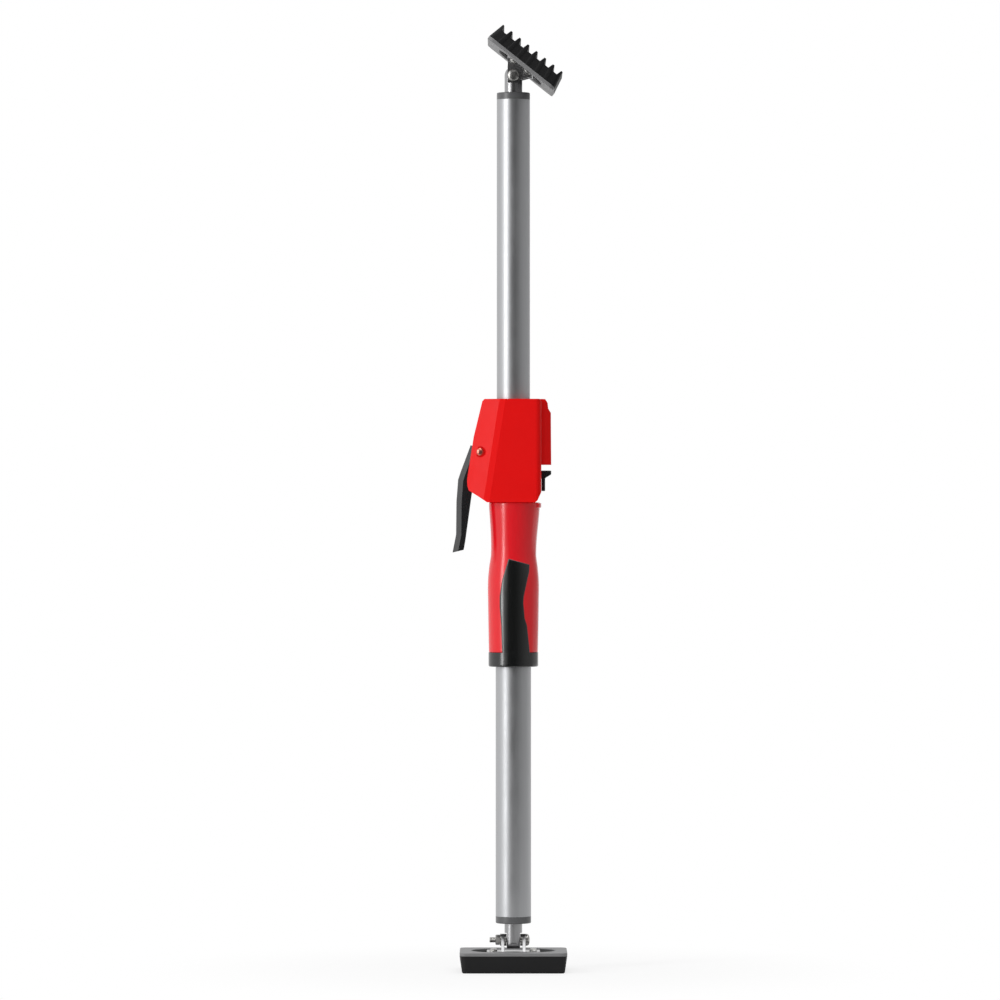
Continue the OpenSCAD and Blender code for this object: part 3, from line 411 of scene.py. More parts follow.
def noise(tree, scale, detail, stretch=(1, 1, 1)):
    """Noise on Object coordinates, stretched along the axes."""
    place = tree.nodes.new("ShaderNodeTexCoord")
    mapping = tree.nodes.new("ShaderNodeMapping")
    mapping.inputs["Scale"].default_value = stretch
    field = tree.nodes.new("ShaderNodeTexNoise")
    field.inputs["Detail"].default_value = detail
    tree.links.new(place.outputs["Object"], mapping.inputs["Vector"])
    tree.links.new(mapping.outputs["Vector"], field.inputs["Vector"])
    if isinstance(scale, (int, float)):
        field.inputs["Scale"].default_value = scale
    else:
        tree.links.new(scale, field.inputs["Scale"])
    return field.outputs["Fac"]


def moulded_grain():
    """Fine spark texture of a mould, with slow waves of the wall under it."""
    group, entry, out = node_group(
        "Moulded grain", {"Grain Scale": 1600, "Wave Scale": 45}, ("Height", "Patches")
    )
    fine = noise(group, entry.outputs["Grain Scale"], 2)
    wave = noise(group, entry.outputs["Wave Scale"], 2)
    height = maths(group, "ADD", maths(group, "MULTIPLY", fine, FINE_GRAIN), wave)
    group.links.new(height, out.inputs["Height"])
    group.links.new(wave, out.inputs["Patches"])
    return group


def drawn_streaks():
    """Long streaks that drawing leaves along a tube, and the fine spangle of its plating."""
    group, entry, out = node_group(
        "Drawn streaks", {"Streak Scale": 700, "Spangle Scale": 240}, ("Height", "Streaks", "Spangle")
    )
    streaks = noise(group, entry.outputs["Streak Scale"], 3, STREAK_STRETCH)
    spangle = noise(group, entry.outputs["Spangle Scale"], 4)
    group.links.new(maths(group, "ADD", streaks, spangle), out.inputs["Height"])
    group.links.new(streaks, out.inputs["Streaks"])
    group.links.new(spangle, out.inputs["Spangle"])
    return group


def handling_marks():
    """Faint smudges and rubbed places that change how rough a surface is."""
    group, entry, out = node_group("Handling marks", {"Mark Scale": 30}, ("Marks",))
    broad = noise(group, entry.outputs["Mark Scale"], 4)
    smear_scale = maths(group, "MULTIPLY", entry.outputs["Mark Scale"], SMEAR_SCALE)
    thin = noise(group, smear_scale, 6, SMEAR_STRETCH)
    group.links.new(maths(group, "MULTIPLY", broad, thin), out.inputs["Marks"])
    return group


SHARED = {"grain": moulded_grain, "streaks": drawn_streaks, "marks": handling_marks}
made_groups = {}
made_finishes = {}


def placed_group(tree, key, **values):
    """One of the shared groups, placed in a material with its own values."""
    if key not in made_groups:
        made_groups[key] = SHARED[key]()
    node = tree.nodes.new("ShaderNodeGroup")
    node.node_tree = made_groups[key]
    for label, value in values.items():
        node.inputs[label.replace("_", " ")].default_value = value
    return node.outputs


def tinted(tree, colour_value, mask, spread):
    """The base colour, made a little darker and lighter by a mask about one half."""
    mix = tree.nodes.new("ShaderNodeMix")
    mix.data_type = "RGBA"
    mix.clamp_factor = True
    base = np.array(colour_value)
    mix.inputs["A"].default_value = (*np.clip(base * (1 - spread), 0, 1), 1)
    mix.inputs["B"].default_value = (*np.clip(base * (1 + spread), 0, 1), 1)
    tree.links.new(mask, mix.inputs["Factor"])
    return mix.outputs["Result"]


def new_finish(name):
    """A material with its shader, its tree and an empty Bump that feeds the Normal."""
    material = bpy.data.materials.new(name)
    material.use_nodes = True
    tree = material.node_tree
    shader = tree.nodes["Principled BSDF"]
    bump = tree.nodes.new("ShaderNodeBump")
    tree.links.new(bump.outputs["Normal"], shader.inputs["Normal"])
    return material, tree, shader, bump


def plastic(name, base, roughness, grain=1600, wave=45, depth=0.02, specular=0.5, spread=0.03):
    """Moulded plastic or rubber: even colour, spark texture and faint handling marks."""
    material, tree, shader, bump = new_finish(name)
    skin = placed_group(tree, "grain", Grain_Scale=grain, Wave_Scale=wave)
    marks = placed_group(tree, "marks", Mark_Scale=PLASTIC_MARKS)
    tree.links.new(tinted(tree, base, skin["Patches"], spread), shader.inputs["Base Color"])
    worn = maths(tree, "MULTIPLY", marks["Marks"], PLASTIC_WEAR)
    rough = maths(tree, "ADD", worn, roughness - PLASTIC_MEAN, True)
    tree.links.new(rough, shader.inputs["Roughness"])
    shader.inputs["Specular IOR Level"].default_value = specular
    bump.inputs["Strength"].default_value = PLASTIC_BUMP
    bump.inputs["Distance"].default_value = depth * MM
    tree.links.new(skin["Height"], bump.inputs["Height"])
    return material


def metal(name, base, roughness, streak=700, spangle=240, depth=0.004, spread=0.1, mottle=0.1):
    """Plated steel: drawing streaks in colour and height, spangle and marks in roughness."""
    material, tree, shader, bump = new_finish(name)
    skin = placed_group(tree, "streaks", Streak_Scale=streak, Spangle_Scale=spangle)
    marks = placed_group(tree, "marks", Mark_Scale=METAL_MARKS)
    tree.links.new(tinted(tree, base, skin["Streaks"], spread), shader.inputs["Base Color"])
    worn = maths(tree, "MULTIPLY", marks["Marks"], METAL_WEAR)
    rough = maths(tree, "ADD", maths(tree, "MULTIPLY", skin["Spangle"], mottle), worn)
    rough = maths(tree, "ADD", rough, roughness - METAL_MEAN - mottle / 2, True)
    tree.links.new(rough, shader.inputs["Roughness"])
    shader.inputs["Metallic"].default_value = 1
    bump.inputs["Strength"].default_value = METAL_BUMP
    bump.inputs["Distance"].default_value = depth * MM
    tree.links.new(skin["Height"], bump.inputs["Height"])
    return material


# Name, colour, roughness, scales of the grain and the waves, depth in millimetres, specular
# level and spread of the colour
PLASTICS = {
    "housing": ("Red housing", "housing_red", 0.36, 1500, 60, 0.006, 0.11),
    "grip": ("Red grip", "grip_red", 0.22, 1300, 55, 0.002, 0.5),
    "inlay": ("Black inlay", "inlay_black", 0.22, 1900, 60, 0.003, 0.7),
    "lever": ("Black lever", "lever_black", 0.28, 1500, 50, 0.004, 0.9),
    "pad": ("Black pad rubber", "pad_black", 0.55, 900, 80, 0.03, 0.18),
    "plate": ("Grey plate", "plate_grey", 0.5, 1100, 70, 0.02, 0.4, 0.06),
    "cap": ("Dark cap", "cap_grey", 0.36, 1200, 60, 0.015),
    "guide": ("Black guide", "lever_black", 0.45),
    "glide": ("White glide", "glide_white", 0.4),
}
# Name, colour, roughness, scales of the streaks and the spangle, depth in millimetres, spread
# of the colour and mottle of the roughness
METALS = {
    "tube": ("Zinc tube", "tube_zinc", 0.44, 700, 240, 0.002, 0.06, 0.06),
    "sheet": ("Zinc sheet", "sheet_zinc", 0.31, 400, 320, 0.01, 0.08, 0.1),
    "bolt": ("Zinc bolts", "bolt_zinc", 0.3, 900, 500, 0.006, 0.06, 0.12),
    "pin": ("Bronze pin", "pin_bronze", 0.32, 900, 500, 0.006, 0.08, 0.12),
    "clamp": ("Clamp plates", "plate_steel", 0.36, 500, 300, 0.01, 0.1, 0.12),
    "spring": ("Spring wire", "spring_steel", 0.28),
    "screw": ("Black screws", "screw_black", 0.4),
}


def finish(key):
    """The named finish, made at its first use from the colours that are set in the scene."""
    if key not in made_finishes:
        maker, table = (plastic, PLASTICS) if key in PLASTICS else (metal, METALS)
        name, tone, *values = table[key]
        base = getattr(bpy.context.scene.pole_colours, tone)
        made_finishes[key] = maker(name, base, *values)
    return made_finishes[key]


class PoleOperator:
    """What every operator of the pole shares."""

    bl_options = {"REGISTER", "UNDO"}

    @property
    def sizes(self):
        return bpy.context.scene.pole_sizes


# Operators


class POLE_OT_stage(PoleOperator, bpy.types.Operator):
    """Sets the camera, the pale floor, the lamps, the dark screen and the surroundings"""

    bl_idname = "pole.stage"
    bl_label = "Stage"

    camera_place = (-0.0121, -5.70, 0.4259)
    lens = 226.8
    sensor_width = 36
    sight = 60
    key_place, key_size = (-1.84, -1.38, 0.9), (0.42, 2.1)
    top_place, top_size = (0.2, -0.3, 2.6), (1.6, 1.6)
    floor_radius = 14
    floor_rings, floor_spokes = 12, 72
    floor_tone = (0.86, 0.86, 0.86, 1)
    floor_roughness = 0.9
    floor_specular = 0.1
    shadow_near, shadow_far = 0.1, 0.38
    near_white = 0.72
    screen_radius = 7
    screen_rows, screen_steps = 6, 60
    screen_heights = (0.02, 5.5)
    screen_bearings = (-118, 55)
    apron_reach = (0.4, 6.9)
    apron_bearings = (-128, 12)
    apron_rise = 0.004
    fall_off = math.radians(80)

    def execute(self, context):
        scene = context.scene
        studio = scene.pole_studio
        scene.view_settings.view_transform = "Standard"
        camera = bpy.data.cameras.new("Camera")
        camera.lens = self.lens
        camera.sensor_width = self.sensor_width
        camera.clip_end = self.sight
        view = bpy.data.objects.new("Camera", camera)
        view.location = self.camera_place
        view.rotation_euler = (math.pi / 2, 0, 0)
        scene.collection.objects.link(view)
        scene.camera = view
        self.softbox("Key softbox", self.key_place, self.key_size, studio.key_watts)
        self.softbox("Top softbox", self.top_place, self.top_size, studio.top_watts)
        self.floor()
        self.screen(studio)
        self.surroundings(scene, studio.sky)
        return {"FINISHED"}

    def softbox(self, name, place, size, watts):
        """A rectangular lamp aimed at the middle of the pole."""
        lamp = bpy.data.lights.new(name, "AREA")
        lamp.shape = "RECTANGLE"
        lamp.size, lamp.size_y = size
        lamp.energy = watts
        body = bpy.data.objects.new(name, lamp)
        body.location = place
        middle = (CAD_LOW + CAD_HIGH) / 2
        body.rotation_euler = (middle - body.location).to_track_quat("-Z", "Y").to_euler()
        bpy.context.scene.collection.objects.link(body)

    def looked_at(self, tree):
        """1 where the camera, gloss or glass looks at a surface, 0 where it only gives light."""
        path = tree.nodes.new("ShaderNodeLightPath")
        seen = maths(tree, "MAXIMUM", path.outputs["Is Camera Ray"], path.outputs["Is Glossy Ray"])
        return maths(tree, "MAXIMUM", seen, path.outputs["Is Transmission Ray"])

    def seen_as_white(self, tree, shader):
        """Mixes a surface with plain white light for what the camera, gloss and glass see."""
        seen = self.looked_at(tree)
        white = tree.nodes.new("ShaderNodeEmission")
        mix = tree.nodes.new("ShaderNodeMixShader")
        tree.links.new(shader, mix.inputs[1])
        tree.links.new(white.outputs["Emission"], mix.inputs[2])
        return seen, mix

    def floor(self):
        """A round floor: pale near the pole, where it takes the shadow, and plain white beyond."""
        radius = (np.linspace(0, 1, self.floor_rings) ** 2 * self.floor_radius)[:, None]
        turn = np.linspace(0, 2 * np.pi, self.floor_spokes, endpoint=False)[None, :]
        points = np.stack([radius * np.cos(turn), radius * np.sin(turn), 0 * radius * turn], axis=-1)
        mesh = bpy.data.meshes.new("Floor")
        faces = grid_faces(self.floor_rings, self.floor_spokes, False, True)
        mesh.from_pydata(points.reshape(-1, 3).tolist(), [], faces.tolist())
        floor = bpy.data.objects.new("Floor", mesh)
        bpy.context.scene.collection.objects.link(floor)
        material = bpy.data.materials.new("Pale floor")
        material.use_nodes = True
        tree = material.node_tree
        shader = tree.nodes["Principled BSDF"]
        shader.inputs["Base Color"].default_value = self.floor_tone
        shader.inputs["Roughness"].default_value = self.floor_roughness
        shader.inputs["Specular IOR Level"].default_value = self.floor_specular
        seen, mix = self.seen_as_white(tree, shader.outputs["BSDF"])
        place = tree.nodes.new("ShaderNodeTexCoord")
        reach = tree.nodes.new("ShaderNodeVectorMath")
        reach.operation = "LENGTH"
        tree.links.new(place.outputs["Object"], reach.inputs[0])
        far = tree.nodes.new("ShaderNodeMapRange")
        far.interpolation_type = "SMOOTHSTEP"
        far.inputs["From Min"].default_value = self.shadow_near
        far.inputs["From Max"].default_value = self.shadow_far
        far.inputs["To Min"].default_value = self.near_white
        tree.links.new(reach.outputs["Value"], far.inputs["Value"])
        tree.links.new(maths(tree, "MULTIPLY", seen, far.outputs["Result"]), mix.inputs[0])
        tree.links.new(mix.outputs[0], tree.nodes["Material Output"].inputs["Surface"])
        mesh.materials.append(material)

    def screen(self, studio):
        """A tall screen round the front and the right, with an apron that lies before it.

        It stands behind the camera, which sees it white. Towards the right, gloss sees it brighter
        and its soft light falls off. Both follow the bearing from the front.
        """
        rows, steps, far = self.screen_rows, self.screen_steps, self.screen_radius
        turn = np.radians(np.linspace(*self.screen_bearings, steps))[None, :]
        lying = np.radians(np.linspace(*self.apron_bearings, steps))[None, :]
        height = np.linspace(*self.screen_heights, rows)[:, None]
        reach = np.linspace(*self.apron_reach, rows)[:, None]
        wall = np.stack(
            [far * np.cos(turn) + 0 * height, far * np.sin(turn) + 0 * height, height + 0 * turn],
            axis=-1,
        )
        apron = np.stack(
            [reach * np.cos(lying), reach * np.sin(lying), 0 * reach * lying + self.apron_rise],
            axis=-1,
        )
        points = np.concatenate([wall.reshape(-1, 3), apron.reshape(-1, 3)])
        sheet = grid_faces(rows, steps)
        faces = np.concatenate([sheet, sheet + rows * steps])
        mesh = bpy.data.meshes.new("Dark screen")
        mesh.from_pydata(points.tolist(), [], faces.tolist())
        screen = bpy.data.objects.new("Dark screen", mesh)
        bpy.context.scene.collection.objects.link(screen)
        material = bpy.data.materials.new("Screen cloth")
        material.use_nodes = True
        tree = material.node_tree
        tree.nodes.remove(tree.nodes["Principled BSDF"])
        place = tree.nodes.new("ShaderNodeTexCoord")
        parts = tree.nodes.new("ShaderNodeSeparateXYZ")
        tree.links.new(place.outputs["Object"], parts.inputs[0])
        ahead = maths(tree, "MULTIPLY", parts.outputs["Y"], -1.0)
        bearing = maths(tree, "ARCTAN2", parts.outputs["X"], ahead)
        path = tree.nodes.new("ShaderNodeLightPath")
        gloss = self.across(tree, bearing, studio.dark_front, studio.dark_side)
        soft = self.across(tree, bearing, studio.sky, studio.dim_side)
        level = tree.nodes.new("ShaderNodeMix")
        tree.links.new(path.outputs["Is Glossy Ray"], level.inputs["Factor"])
        tree.links.new(soft, level.inputs["A"])
        tree.links.new(gloss, level.inputs["B"])
        cloth = tree.nodes.new("ShaderNodeEmission")
        tree.links.new(level.outputs["Result"], cloth.inputs["Strength"])
        white = tree.nodes.new("ShaderNodeEmission")
        mix = tree.nodes.new("ShaderNodeMixShader")
        tree.links.new(path.outputs["Is Camera Ray"], mix.inputs[0])
        tree.links.new(cloth.outputs[0], mix.inputs[1])
        tree.links.new(white.outputs[0], mix.inputs[2])
        tree.links.new(mix.outputs[0], tree.nodes["Material Output"].inputs["Surface"])
        mesh.materials.append(material)

    def across(self, tree, bearing, front, side):
        """A value that goes from its front level to its side level over the fall-off's angle."""
        spread = tree.nodes.new("ShaderNodeMapRange")
        spread.interpolation_type = "SMOOTHSTEP"
        spread.inputs["From Max"].default_value = self.fall_off
        spread.inputs["To Min"].default_value = front
        spread.inputs["To Max"].default_value = side
        tree.links.new(bearing, spread.inputs["Value"])
        return spread.outputs["Result"]

    def surroundings(self, scene, sky):
        """White surroundings that light the object more softly than they look."""
        world = bpy.data.worlds.new("Studio")
        world.use_nodes = True
        scene.world = world
        tree = world.node_tree
        plain = tree.nodes["Background"]
        plain.inputs["Color"].default_value = (1, 1, 1, 1)
        plain.inputs["Strength"].default_value = sky
        white = tree.nodes.new("ShaderNodeBackground")
        white.inputs["Color"].default_value = (1, 1, 1, 1)
        mix = tree.nodes.new("ShaderNodeMixShader")
        tree.links.new(self.looked_at(tree), mix.inputs[0])
        tree.links.new(plain.outputs[0], mix.inputs[1])
        tree.links.new(white.outputs[0], mix.inputs[2])
        tree.links.new(mix.outputs[0], tree.nodes["World Output"].inputs["Surface"])


class POLE_OT_tubes(PoleOperator, bpy.types.Operator):
    """Both plated tubes as rings with softly broken ends"""

    bl_idname = "pole.tubes"
    bl_label = "Tubes"

    wall = 0.8 * MM

    def execute(self, context):
        for node in ("outer_tube", "inner_tube"):
            low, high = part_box(node)
            radius = high.x
            corners = [
                (radius - self.wall, low.z), (radius, low.z),
                (radius, high.z), (radius - self.wall, high.z),
            ]
            profile = softened_profile(corners, self.sizes.tube_edge)
            new_piece(node + "_skin", [ring(profile)], node, finish("tube"))
        return {"FINISHED"}


class POLE_OT_caps(PoleOperator, bpy.types.Operator):
    """The moulded caps as rings with a rounded rim, and the turned stems through them"""

    bl_idname = "pole.caps"
    bl_label = "Caps and stems"

    ring_height = 6.2 * MM
    plug_inset = 0.85 * MM
    stem_radius = 8.05 * MM
    # Shares of the edge radius at the corners, from the stem's hole round to the plug
    corner_shares = (0.3, 1.3, 0.2, 0, 0, 0)

    def execute(self, context):
        for end, outward in (("foot", 1), ("head", -1)):
            low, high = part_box(end + "_cap")
            start, stop = (low.z, high.z) if outward > 0 else (high.z, low.z)
            shoulder = start + outward * self.ring_height
            rim, plug = high.x, high.x - self.plug_inset
            corners = [
                (self.stem_radius, start), (rim, start), (rim, shoulder),
                (plug, shoulder), (plug, stop), (self.stem_radius, stop),
            ]
            cuts = np.array(self.corner_shares) * self.sizes.cap_edge
            profile = softened_profile(corners, cuts)
            name = end + "_cap"
            new_piece(name + "_skin", [ring(profile)], name, finish("cap"))
            stem = end + "_stem"
            softened_copy(stem + "_skin", stem, finish("sheet"), self.sizes.sheet_edge)
        return {"FINISHED"}


class POLE_OT_pads(PoleOperator, bpy.types.Operator):
    """The ridged pads: rows of four points each, carried across the ridges"""

    bl_idname = "pole.pads"
    bl_label = "Pads"

    ridge_pitch = 9.6 * MM
    ridge_tip = 1.8 * MM
    ridge_root = 4.6 * MM
    ridge_height = 5 * MM
    ridge_count = 8
    end_lean = 2.2 * MM
    side_lean = 3.3 * MM
    corner = 6 * MM
    flank_shares = (0, 0.4, 0.8, 1)
    side_shares = (0, 0.06, 0.2, 0.5)

    def half_length(self, across, length_half, width_half, corner):
        """Half length of a rectangle with round corners, at a distance from its middle line."""
        past = np.clip(np.abs(across) - (width_half - corner), 0, corner)
        return length_half - corner + np.sqrt(corner**2 - past**2)

    def sheet(self):
        """Closed skin of a pad with its pivot at the origin.

        The rows' places across the pad and their heights follow the ridges: tip, flank, root.
        Each row runs from end to end at the bottom and back along the top, where the pad is
        wider and longer, and the first and last rows are closed by the leaning sides.
        """
        low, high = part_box("foot_pad")
        pivot = PIVOTS["foot_tilt"][2]
        top, bottom = high.z - pivot, low.z - pivot
        centres = (np.arange(self.ridge_count) - (self.ridge_count - 1) / 2) * self.ridge_pitch
        tip, root = self.ridge_tip / 2, self.ridge_root / 2
        share = np.array(self.flank_shares)
        flank = tip + (root - tip) * share
        offsets = np.concatenate([-flank[::-1], flank])
        rise = np.concatenate([share[::-1], share]) * self.ridge_height
        across = (centres[:, None] + offsets).ravel()
        height = bottom + np.tile(rise, self.ridge_count)
        width_bottom, width_top = high.y - self.side_lean, high.y
        outer = width_bottom - np.array(self.side_shares) * tip
        inside = np.abs(across) < outer[-1]
        side_height = np.full(len(outer), bottom)
        across = np.concatenate([-outer, across[inside], outer[::-1]])
        height = np.concatenate([side_height, height[inside], side_height])
        across_top = across * width_top / width_bottom
        reach_bottom = self.half_length(
            across, high.x - self.end_lean, width_bottom, self.corner - self.end_lean
        )
        reach_top = self.half_length(across_top, high.x, width_top, self.corner)
        rows = np.stack(
            [
                np.stack([-reach_bottom, across, height], axis=-1),
                np.stack([reach_bottom, across, height], axis=-1),
                np.stack([reach_top, across_top, np.full_like(across, top)], axis=-1),
                np.stack([-reach_top, across_top, np.full_like(across, top)], axis=-1),
            ],
            axis=1,
        )
        count, loop = rows.shape[:2]
        last = count * loop - 1 - np.arange(loop)
        faces = [grid_faces(count, loop, False, True), np.stack([np.arange(loop), last])]
        return rows.reshape(-1, 3), np.concatenate(faces)

    def execute(self, context):
        points, faces = self.sheet()
        for end, place in (("foot", at_foot), ("head", at_head)):
            new_piece(
                end + "_pad_skin", [(place(points), faces)], end + "_pad",
                finish("pad"), self.sizes.pad_edge,
            )
            plate = end + "_plate"
            softened_copy(plate + "_skin", plate, finish("plate"), self.sizes.plate_edge)
        return {"FINISHED"}


class POLE_OT_pivots(PoleOperator, bpy.types.Operator):
    """Brackets with broken edges, threaded bolts, and the nuts, washers and rivets"""

    bl_idname = "pole.pivots"
    bl_label = "Pivots"

    head_height = 2.8 * MM
    head_radius = 5.25 * MM
    shank_radius = 2.5 * MM
    thread_length = 11 * MM
    rim_share = 0.3
    crown_gap = 0.05 * MM
    chamfer = (-0.1 * MM, 0.5 * MM)
    steps_in_pitch = 10
    arc_steps = 10
    round_steps = 36

    def bolt(self, tip, top):
        """A bolt along X: the radius at each place, with a ridge that winds round the thread.

        The thread lowers the radius by its depth times a triangle wave of the place divided by
        the pitch, less the share of a turn. The head is an arc over a short rim.
        """
        seat = top - self.head_height
        rim = seat + self.rim_share * self.head_height
        steps = int(self.thread_length / self.sizes.thread_pitch * self.steps_in_pitch)
        shaft = np.linspace(tip, tip + self.thread_length, steps)
        arc = np.linspace(0, np.pi / 2, self.arc_steps)
        along = np.concatenate(
            [[tip], shaft, [seat, seat, rim], rim + (top - rim) * np.sin(arc[1:])]
        )
        radius = np.concatenate(
            [
                [0], np.full(steps, self.shank_radius), [self.shank_radius, self.head_radius],
                [self.head_radius], (self.head_radius - self.crown_gap) * np.cos(arc[1:]),
            ]
        )
        turn = np.linspace(0, 2 * np.pi, self.round_steps, endpoint=False)
        wave = np.abs(((along[:, None] / self.sizes.thread_pitch - turn / (2 * np.pi)) % 1) * 2 - 1)
        threaded = (np.arange(len(along)) > 0) & (np.arange(len(along)) <= steps)
        fade = ramp(along, tip + self.chamfer[0], tip + self.chamfer[1]) * threaded
        cut = self.sizes.thread_depth * (wave * fade[:, None] + ((1 - fade) * threaded)[:, None])
        grown = np.maximum(radius[:, None] - cut, 0)
        points = np.stack(
            [along[:, None] + 0 * turn, grown * np.cos(turn), grown * np.sin(turn)], axis=-1
        )
        return points.reshape(-1, 3), grid_faces(len(along), self.round_steps, False, True)

    def execute(self, context):
        low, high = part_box("foot_bolt")
        points, faces = self.bolt(low.x, high.x)
        for end, place in (("foot", at_foot), ("head", at_head)):
            bracket = end + "_bracket"
            softened_copy(bracket + "_skin", bracket, finish("sheet"), self.sizes.sheet_edge)
            bolt = end + "_bolt"
            new_piece(bolt + "_skin", [(place(points), faces)], bolt, finish("bolt"))
            dress(finish("bolt"), end + "_nut", end + "_washers", end + "_rivets")
        return {"FINISHED"}


class POLE_OT_grip(PoleOperator, bpy.types.Operator):
    """The moulded grip with its waist and ledge, and the rubber inlay with its collar"""

    bl_idname = "pole.grip"
    bl_label = "Grip"

    collar_round = 2.4 * MM
    inlay_half_width = 15 * MM
    inlay_height = 85.1 * MM
    inlay_depth = 2 * MM
    largest = 23.1 * MM
    seat = 0.02 * MM
    ledge_reach = 25.2 * MM
    ledge_height = 5 * MM
    ledge_turn = (math.radians(25), math.radians(31))
    ledge_foot_fade = (0.2 * MM, 0.5 * MM)
    ledge_top_fade = (0.9 * MM, 0.2 * MM)
    lean_shares = (0.55, 0.95)
    bore_gap = 0.05 * MM
    top_band = 6 * MM
    end_rows, wall_rows, band_rows = 7, 110, 26
    round_steps = 192
    panel_rows, panel_columns = 90, 30
    panel_inner = (0.08, 0.92)
    panel_upper = 0.97
    panel_width = 1.5
    panel_sink = 0.5 * MM
    rim_shares = (0, 0.06, 0.2, 0.45, 0.75, 1)
    collar_shares = (0.3, 1, 0.15, 0.1)
    heights = (
        0, 0.15, 0.34, 0.46, 0.5, 0.54, 0.576, 0.616, 0.645, 0.67, 0.71, 0.76, 0.81, 0.864,
        0.92, 0.965, 1,
    )
    radii = (
        0.96, 0.978, 0.995, 1, 0.99, 0.968, 0.946, 0.909, 0.889, 0.885, 0.888, 0.9, 0.92, 0.946,
        0.972, 0.99, 0.994,
    )
    left_edge = (
        (0, -0.69), (0.29, -0.75), (0.49, -0.84), (0.6, -0.84), (0.77, -0.69), (0.95, -0.39),
        (1, -0.31),
    )
    right_edge = (
        (0, 1), (0.29, 0.83), (0.365, 0.69), (0.529, 0.61), (0.597, 0.64), (0.767, 0.85),
        (0.855, 0.96), (0.935, 0.99),
    )

    def radius(self, height):
        """Radius of the sleeve at a height over the collar, from the table of shares."""
        return self.largest * flowing(height / self.sleeve_height, self.heights, self.radii)

    def lean(self, height):
        """Sideways shift of the sleeve towards its top."""
        return self.sizes.grip_lean * ramp(height / self.sleeve_height, *self.lean_shares)

    def sleeve(self):
        """The sleeve's skin: a ring whose radius follows the table and rounds off at both ends.

        On the release side the top stands out in a ledge: there the radius is drawn out to the
        ledge's reach by a smooth window in height and in angle.
        """
        tall, edge = self.sleeve_height, self.sizes.grip_edge
        ends = edge * (1 - np.cos(np.linspace(0, np.pi / 2, self.end_rows)))
        wall_rows = np.linspace(edge, tall - self.top_band, self.wall_rows)
        top_rows = np.linspace(tall - self.top_band, tall - edge, self.band_rows)
        rows = np.unique(np.concatenate([ends, wall_rows, top_rows, tall - ends]))
        turn = np.linspace(0, 2 * np.pi, self.round_steps, endpoint=False)[None, :]
        up = rows[:, None]
        short = np.clip(edge - np.minimum(up, tall - up), 0, edge)
        radius = self.radius(up) + 0 * turn
        angle = np.abs((turn + np.pi) % (2 * np.pi) - np.pi)
        window = 1 - ramp(angle, *self.ledge_turn)
        foot = tall - self.ledge_height
        (below, above), (start, stop) = self.ledge_foot_fade, self.ledge_top_fade
        band = ramp(up, foot - below, foot + above) * (1 - ramp(up, tall - start, tall - stop))
        reach = self.ledge_reach - self.sizes.grip_lean
        radius = radius + (reach - radius) * window * band
        radius = radius - (edge - np.sqrt(np.maximum(edge**2 - short**2, 0)))
        outside = np.stack(
            [radius * np.cos(turn) + self.lean(up), radius * np.sin(turn), up + self.base + 0 * turn],
            axis=-1,
        )
        bore = self.bore + 0 * turn
        inside = np.stack(
            [
                np.stack(
                    [bore * np.cos(turn), bore * np.sin(turn), bore * 0 + self.base + level], axis=-1
                )[0]
                for level in (tall, 0)
            ]
        )
        points = np.concatenate([outside, inside])
        return points.reshape(-1, 3), grid_faces(len(points), turn.size, True, True)

    def panel(self, side):
        """One panel of the inlay, laid on the sleeve's surface in front or behind.

        A point's place goes from the left edge to the right edge by u and from the collar to the
        slanted top by v. It stands out of the sleeve by a height that falls away as a quarter
        circle within the rim's width of the outline.
        """
        rim, proud = self.sizes.inlay_rim, self.sizes.inlay_proud
        near = np.array(self.rim_shares)
        width, tall = self.panel_width * self.inlay_half_width, self.inlay_height
        columns = np.linspace(*self.panel_inner, self.panel_columns)
        u = np.concatenate([near * rim / width, columns, 1 - near[::-1] * rim / width])
        v = np.concatenate(
            [np.linspace(0, self.panel_upper, self.panel_rows), 1 - near[::-1] * rim / tall]
        )
        v, u = v[:, None], u[None, :]
        lefts, rights = np.array(self.left_edge), np.array(self.right_edge)
        left_up, right_up = v * lefts[-1, 0], v * rights[-1, 0]
        left = self.inlay_half_width * np.interp(left_up, *lefts.T)
        right = self.inlay_half_width * np.interp(right_up, *rights.T)
        across = left + u * (right - left)
        up = tall * (left_up + u * (right_up - left_up))
        inside = np.minimum(np.minimum(u, 1 - u) * (right - left), (1 - v) * tall)
        short = np.clip(rim - inside, 0, rim) / rim
        sink = self.panel_sink
        rise = (proud + sink) * np.sqrt(np.maximum(1 - short**2, 0)) - sink

        def laid(offset):
            lean = self.lean(up)
            radius = self.radius(up) + offset
            depth = np.sqrt(np.maximum(radius**2 - (across - lean) ** 2, 0))
            return np.stack([across, side * depth, up + self.base], axis=-1)

        return slab(laid(rise), laid(-self.inlay_depth + 0 * rise))

    def execute(self, context):
        low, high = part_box("grip_sleeve")
        # The sleeve seats on the housing, so no light shows between them
        self.base, self.sleeve_height = low.z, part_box("housing_front")[0].z - self.seat - low.z
        self.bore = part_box("outer_tube")[1].x + self.bore_gap
        new_piece("grip_sleeve_skin", [self.sleeve()], "grip_sleeve", finish("grip"))
        rim = self.radius(np.array(0.0)) + self.sizes.inlay_proud
        low_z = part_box("grip_inlay")[0].z
        corners = [(self.bore, low_z), (rim, low_z), (rim, self.base), (self.bore, self.base)]
        cuts = np.array(self.collar_shares) * self.collar_round
        collar = ring(softened_profile(corners, cuts))
        new_piece(
            "grip_inlay_skin", [collar, self.panel(-1), self.panel(1)], "grip_inlay",
            finish("inlay"),
        )
        return {"FINISHED"}


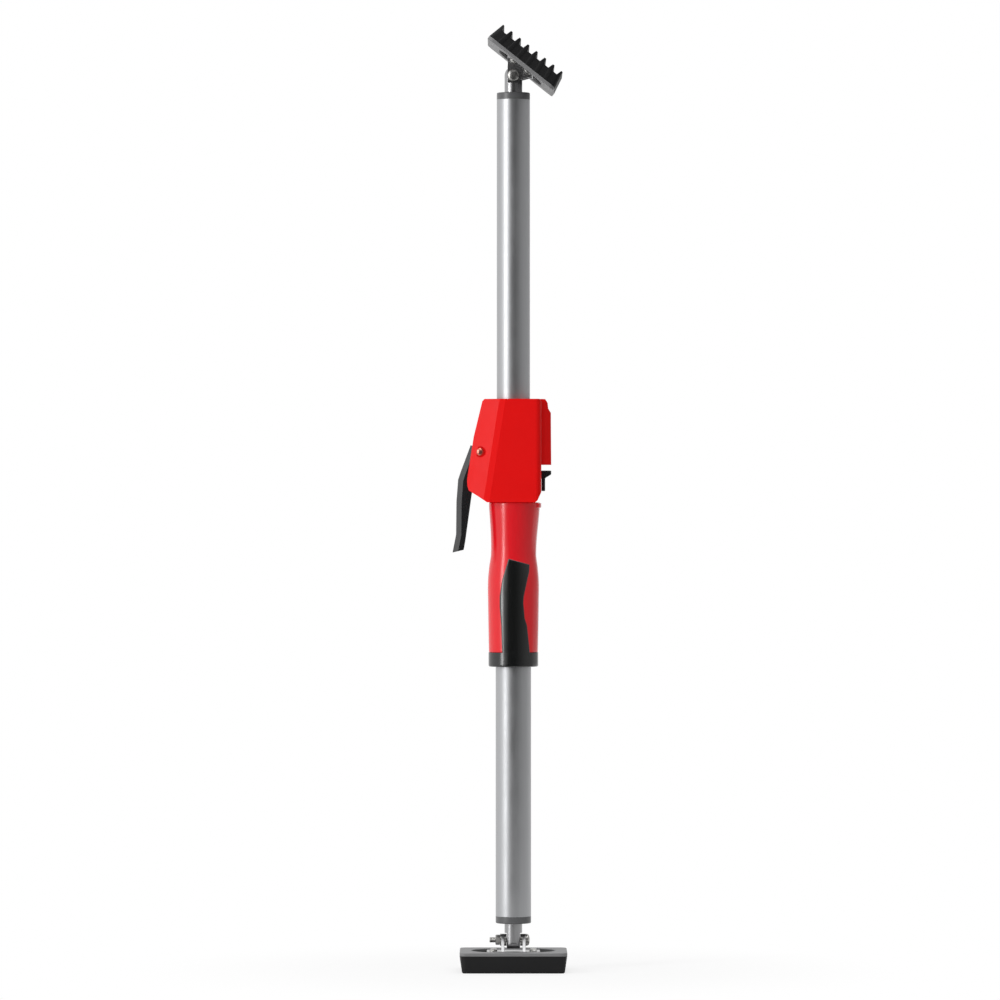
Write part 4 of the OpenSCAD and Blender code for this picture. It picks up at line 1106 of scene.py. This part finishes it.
class POLE_OT_housing(PoleOperator, bpy.types.Operator):
    """Both halves of the housing with rounded edges, and the screws and the lever's pin"""

    bl_idname = "pole.housing"
    bl_label = "Housing"

    crease = math.radians(11)

    def execute(self, context):
        for node in ("housing_front", "housing_rear"):
            softened_copy(
                node + "_skin", node, finish("housing"), self.sizes.moulded_edge,
                least_angle=self.crease,
            )
        dress(finish("screw"), "housing_screws")
        dress(finish("pin"), "lever_pin")
        return {"FINISHED"}


class POLE_OT_controls(PoleOperator, bpy.types.Operator):
    """The pump lever and the release tab with rounded edges"""

    bl_idname = "pole.controls"
    bl_label = "Lever and tab"

    def execute(self, context):
        for node, wide in (("pump_lever", self.sizes.lever_back), ("release_slider", None)):
            softened_copy(
                node + "_skin", node, finish("lever"), self.sizes.lever_edge, wide
            )
        return {"FINISHED"}


class POLE_OT_inner(PoleOperator, bpy.types.Operator):
    """Finishes of the parts inside the housing and the tubes"""

    bl_idname = "pole.inner"
    bl_label = "Inner parts"

    def execute(self, context):
        dress(finish("sheet"), "mechanism_frame")
        dress(finish("clamp"), "drive_plate", "lock_plates")
        dress(finish("spring"), "drive_spring", "lock_spring")
        dress(finish("guide"), "tube_guide")
        dress(finish("glide"), "tube_glide")
        return {"FINISHED"}


class POLE_PT_panel(bpy.types.Panel):
    """Lists the pole's operators and settings in the sidebar"""

    bl_idname = "POLE_PT_panel"
    bl_label = "Support Pole"
    bl_space_type = "VIEW_3D"
    bl_region_type = "UI"
    bl_category = "Support Pole"

    def draw(self, context):
        for operator in OPERATORS:
            self.layout.operator(operator.bl_idname)
        for group in (context.scene.pole_sizes, context.scene.pole_colours, context.scene.pole_studio):
            for name in group.bl_rna.properties.keys():
                if name not in {"rna_type", "name"}:
                    self.layout.prop(group, name)


OPERATORS = (
    POLE_OT_stage,
    POLE_OT_tubes,
    POLE_OT_caps,
    POLE_OT_pads,
    POLE_OT_pivots,
    POLE_OT_grip,
    POLE_OT_housing,
    POLE_OT_controls,
    POLE_OT_inner,
)
GROUPS = {"pole_sizes": PoleSizes, "pole_colours": PoleColours, "pole_studio": PoleStudio}


def register():
    """Registers the property groups, the operators and the panel."""
    for name, group in GROUPS.items():
        bpy.utils.register_class(group)
        setattr(bpy.types.Scene, name, PointerProperty(type=group))
    for item in (*OPERATORS, POLE_PT_panel):
        bpy.utils.register_class(item)


def unregister():
    """Takes back what register() added."""
    for item in (POLE_PT_panel, *reversed(OPERATORS)):
        bpy.utils.unregister_class(item)
    for name, group in reversed(GROUPS.items()):
        delattr(bpy.types.Scene, name)
        bpy.utils.unregister_class(group)


def main():
    """Dresses the whole pole."""
    register()
    bpy.ops.pole.stage()
    bpy.ops.pole.tubes()
    bpy.ops.pole.caps()
    bpy.ops.pole.pads()
    bpy.ops.pole.pivots()
    bpy.ops.pole.grip()
    bpy.ops.pole.housing()
    bpy.ops.pole.controls()
    bpy.ops.pole.inner()


if __name__ == "__main__":
    main()
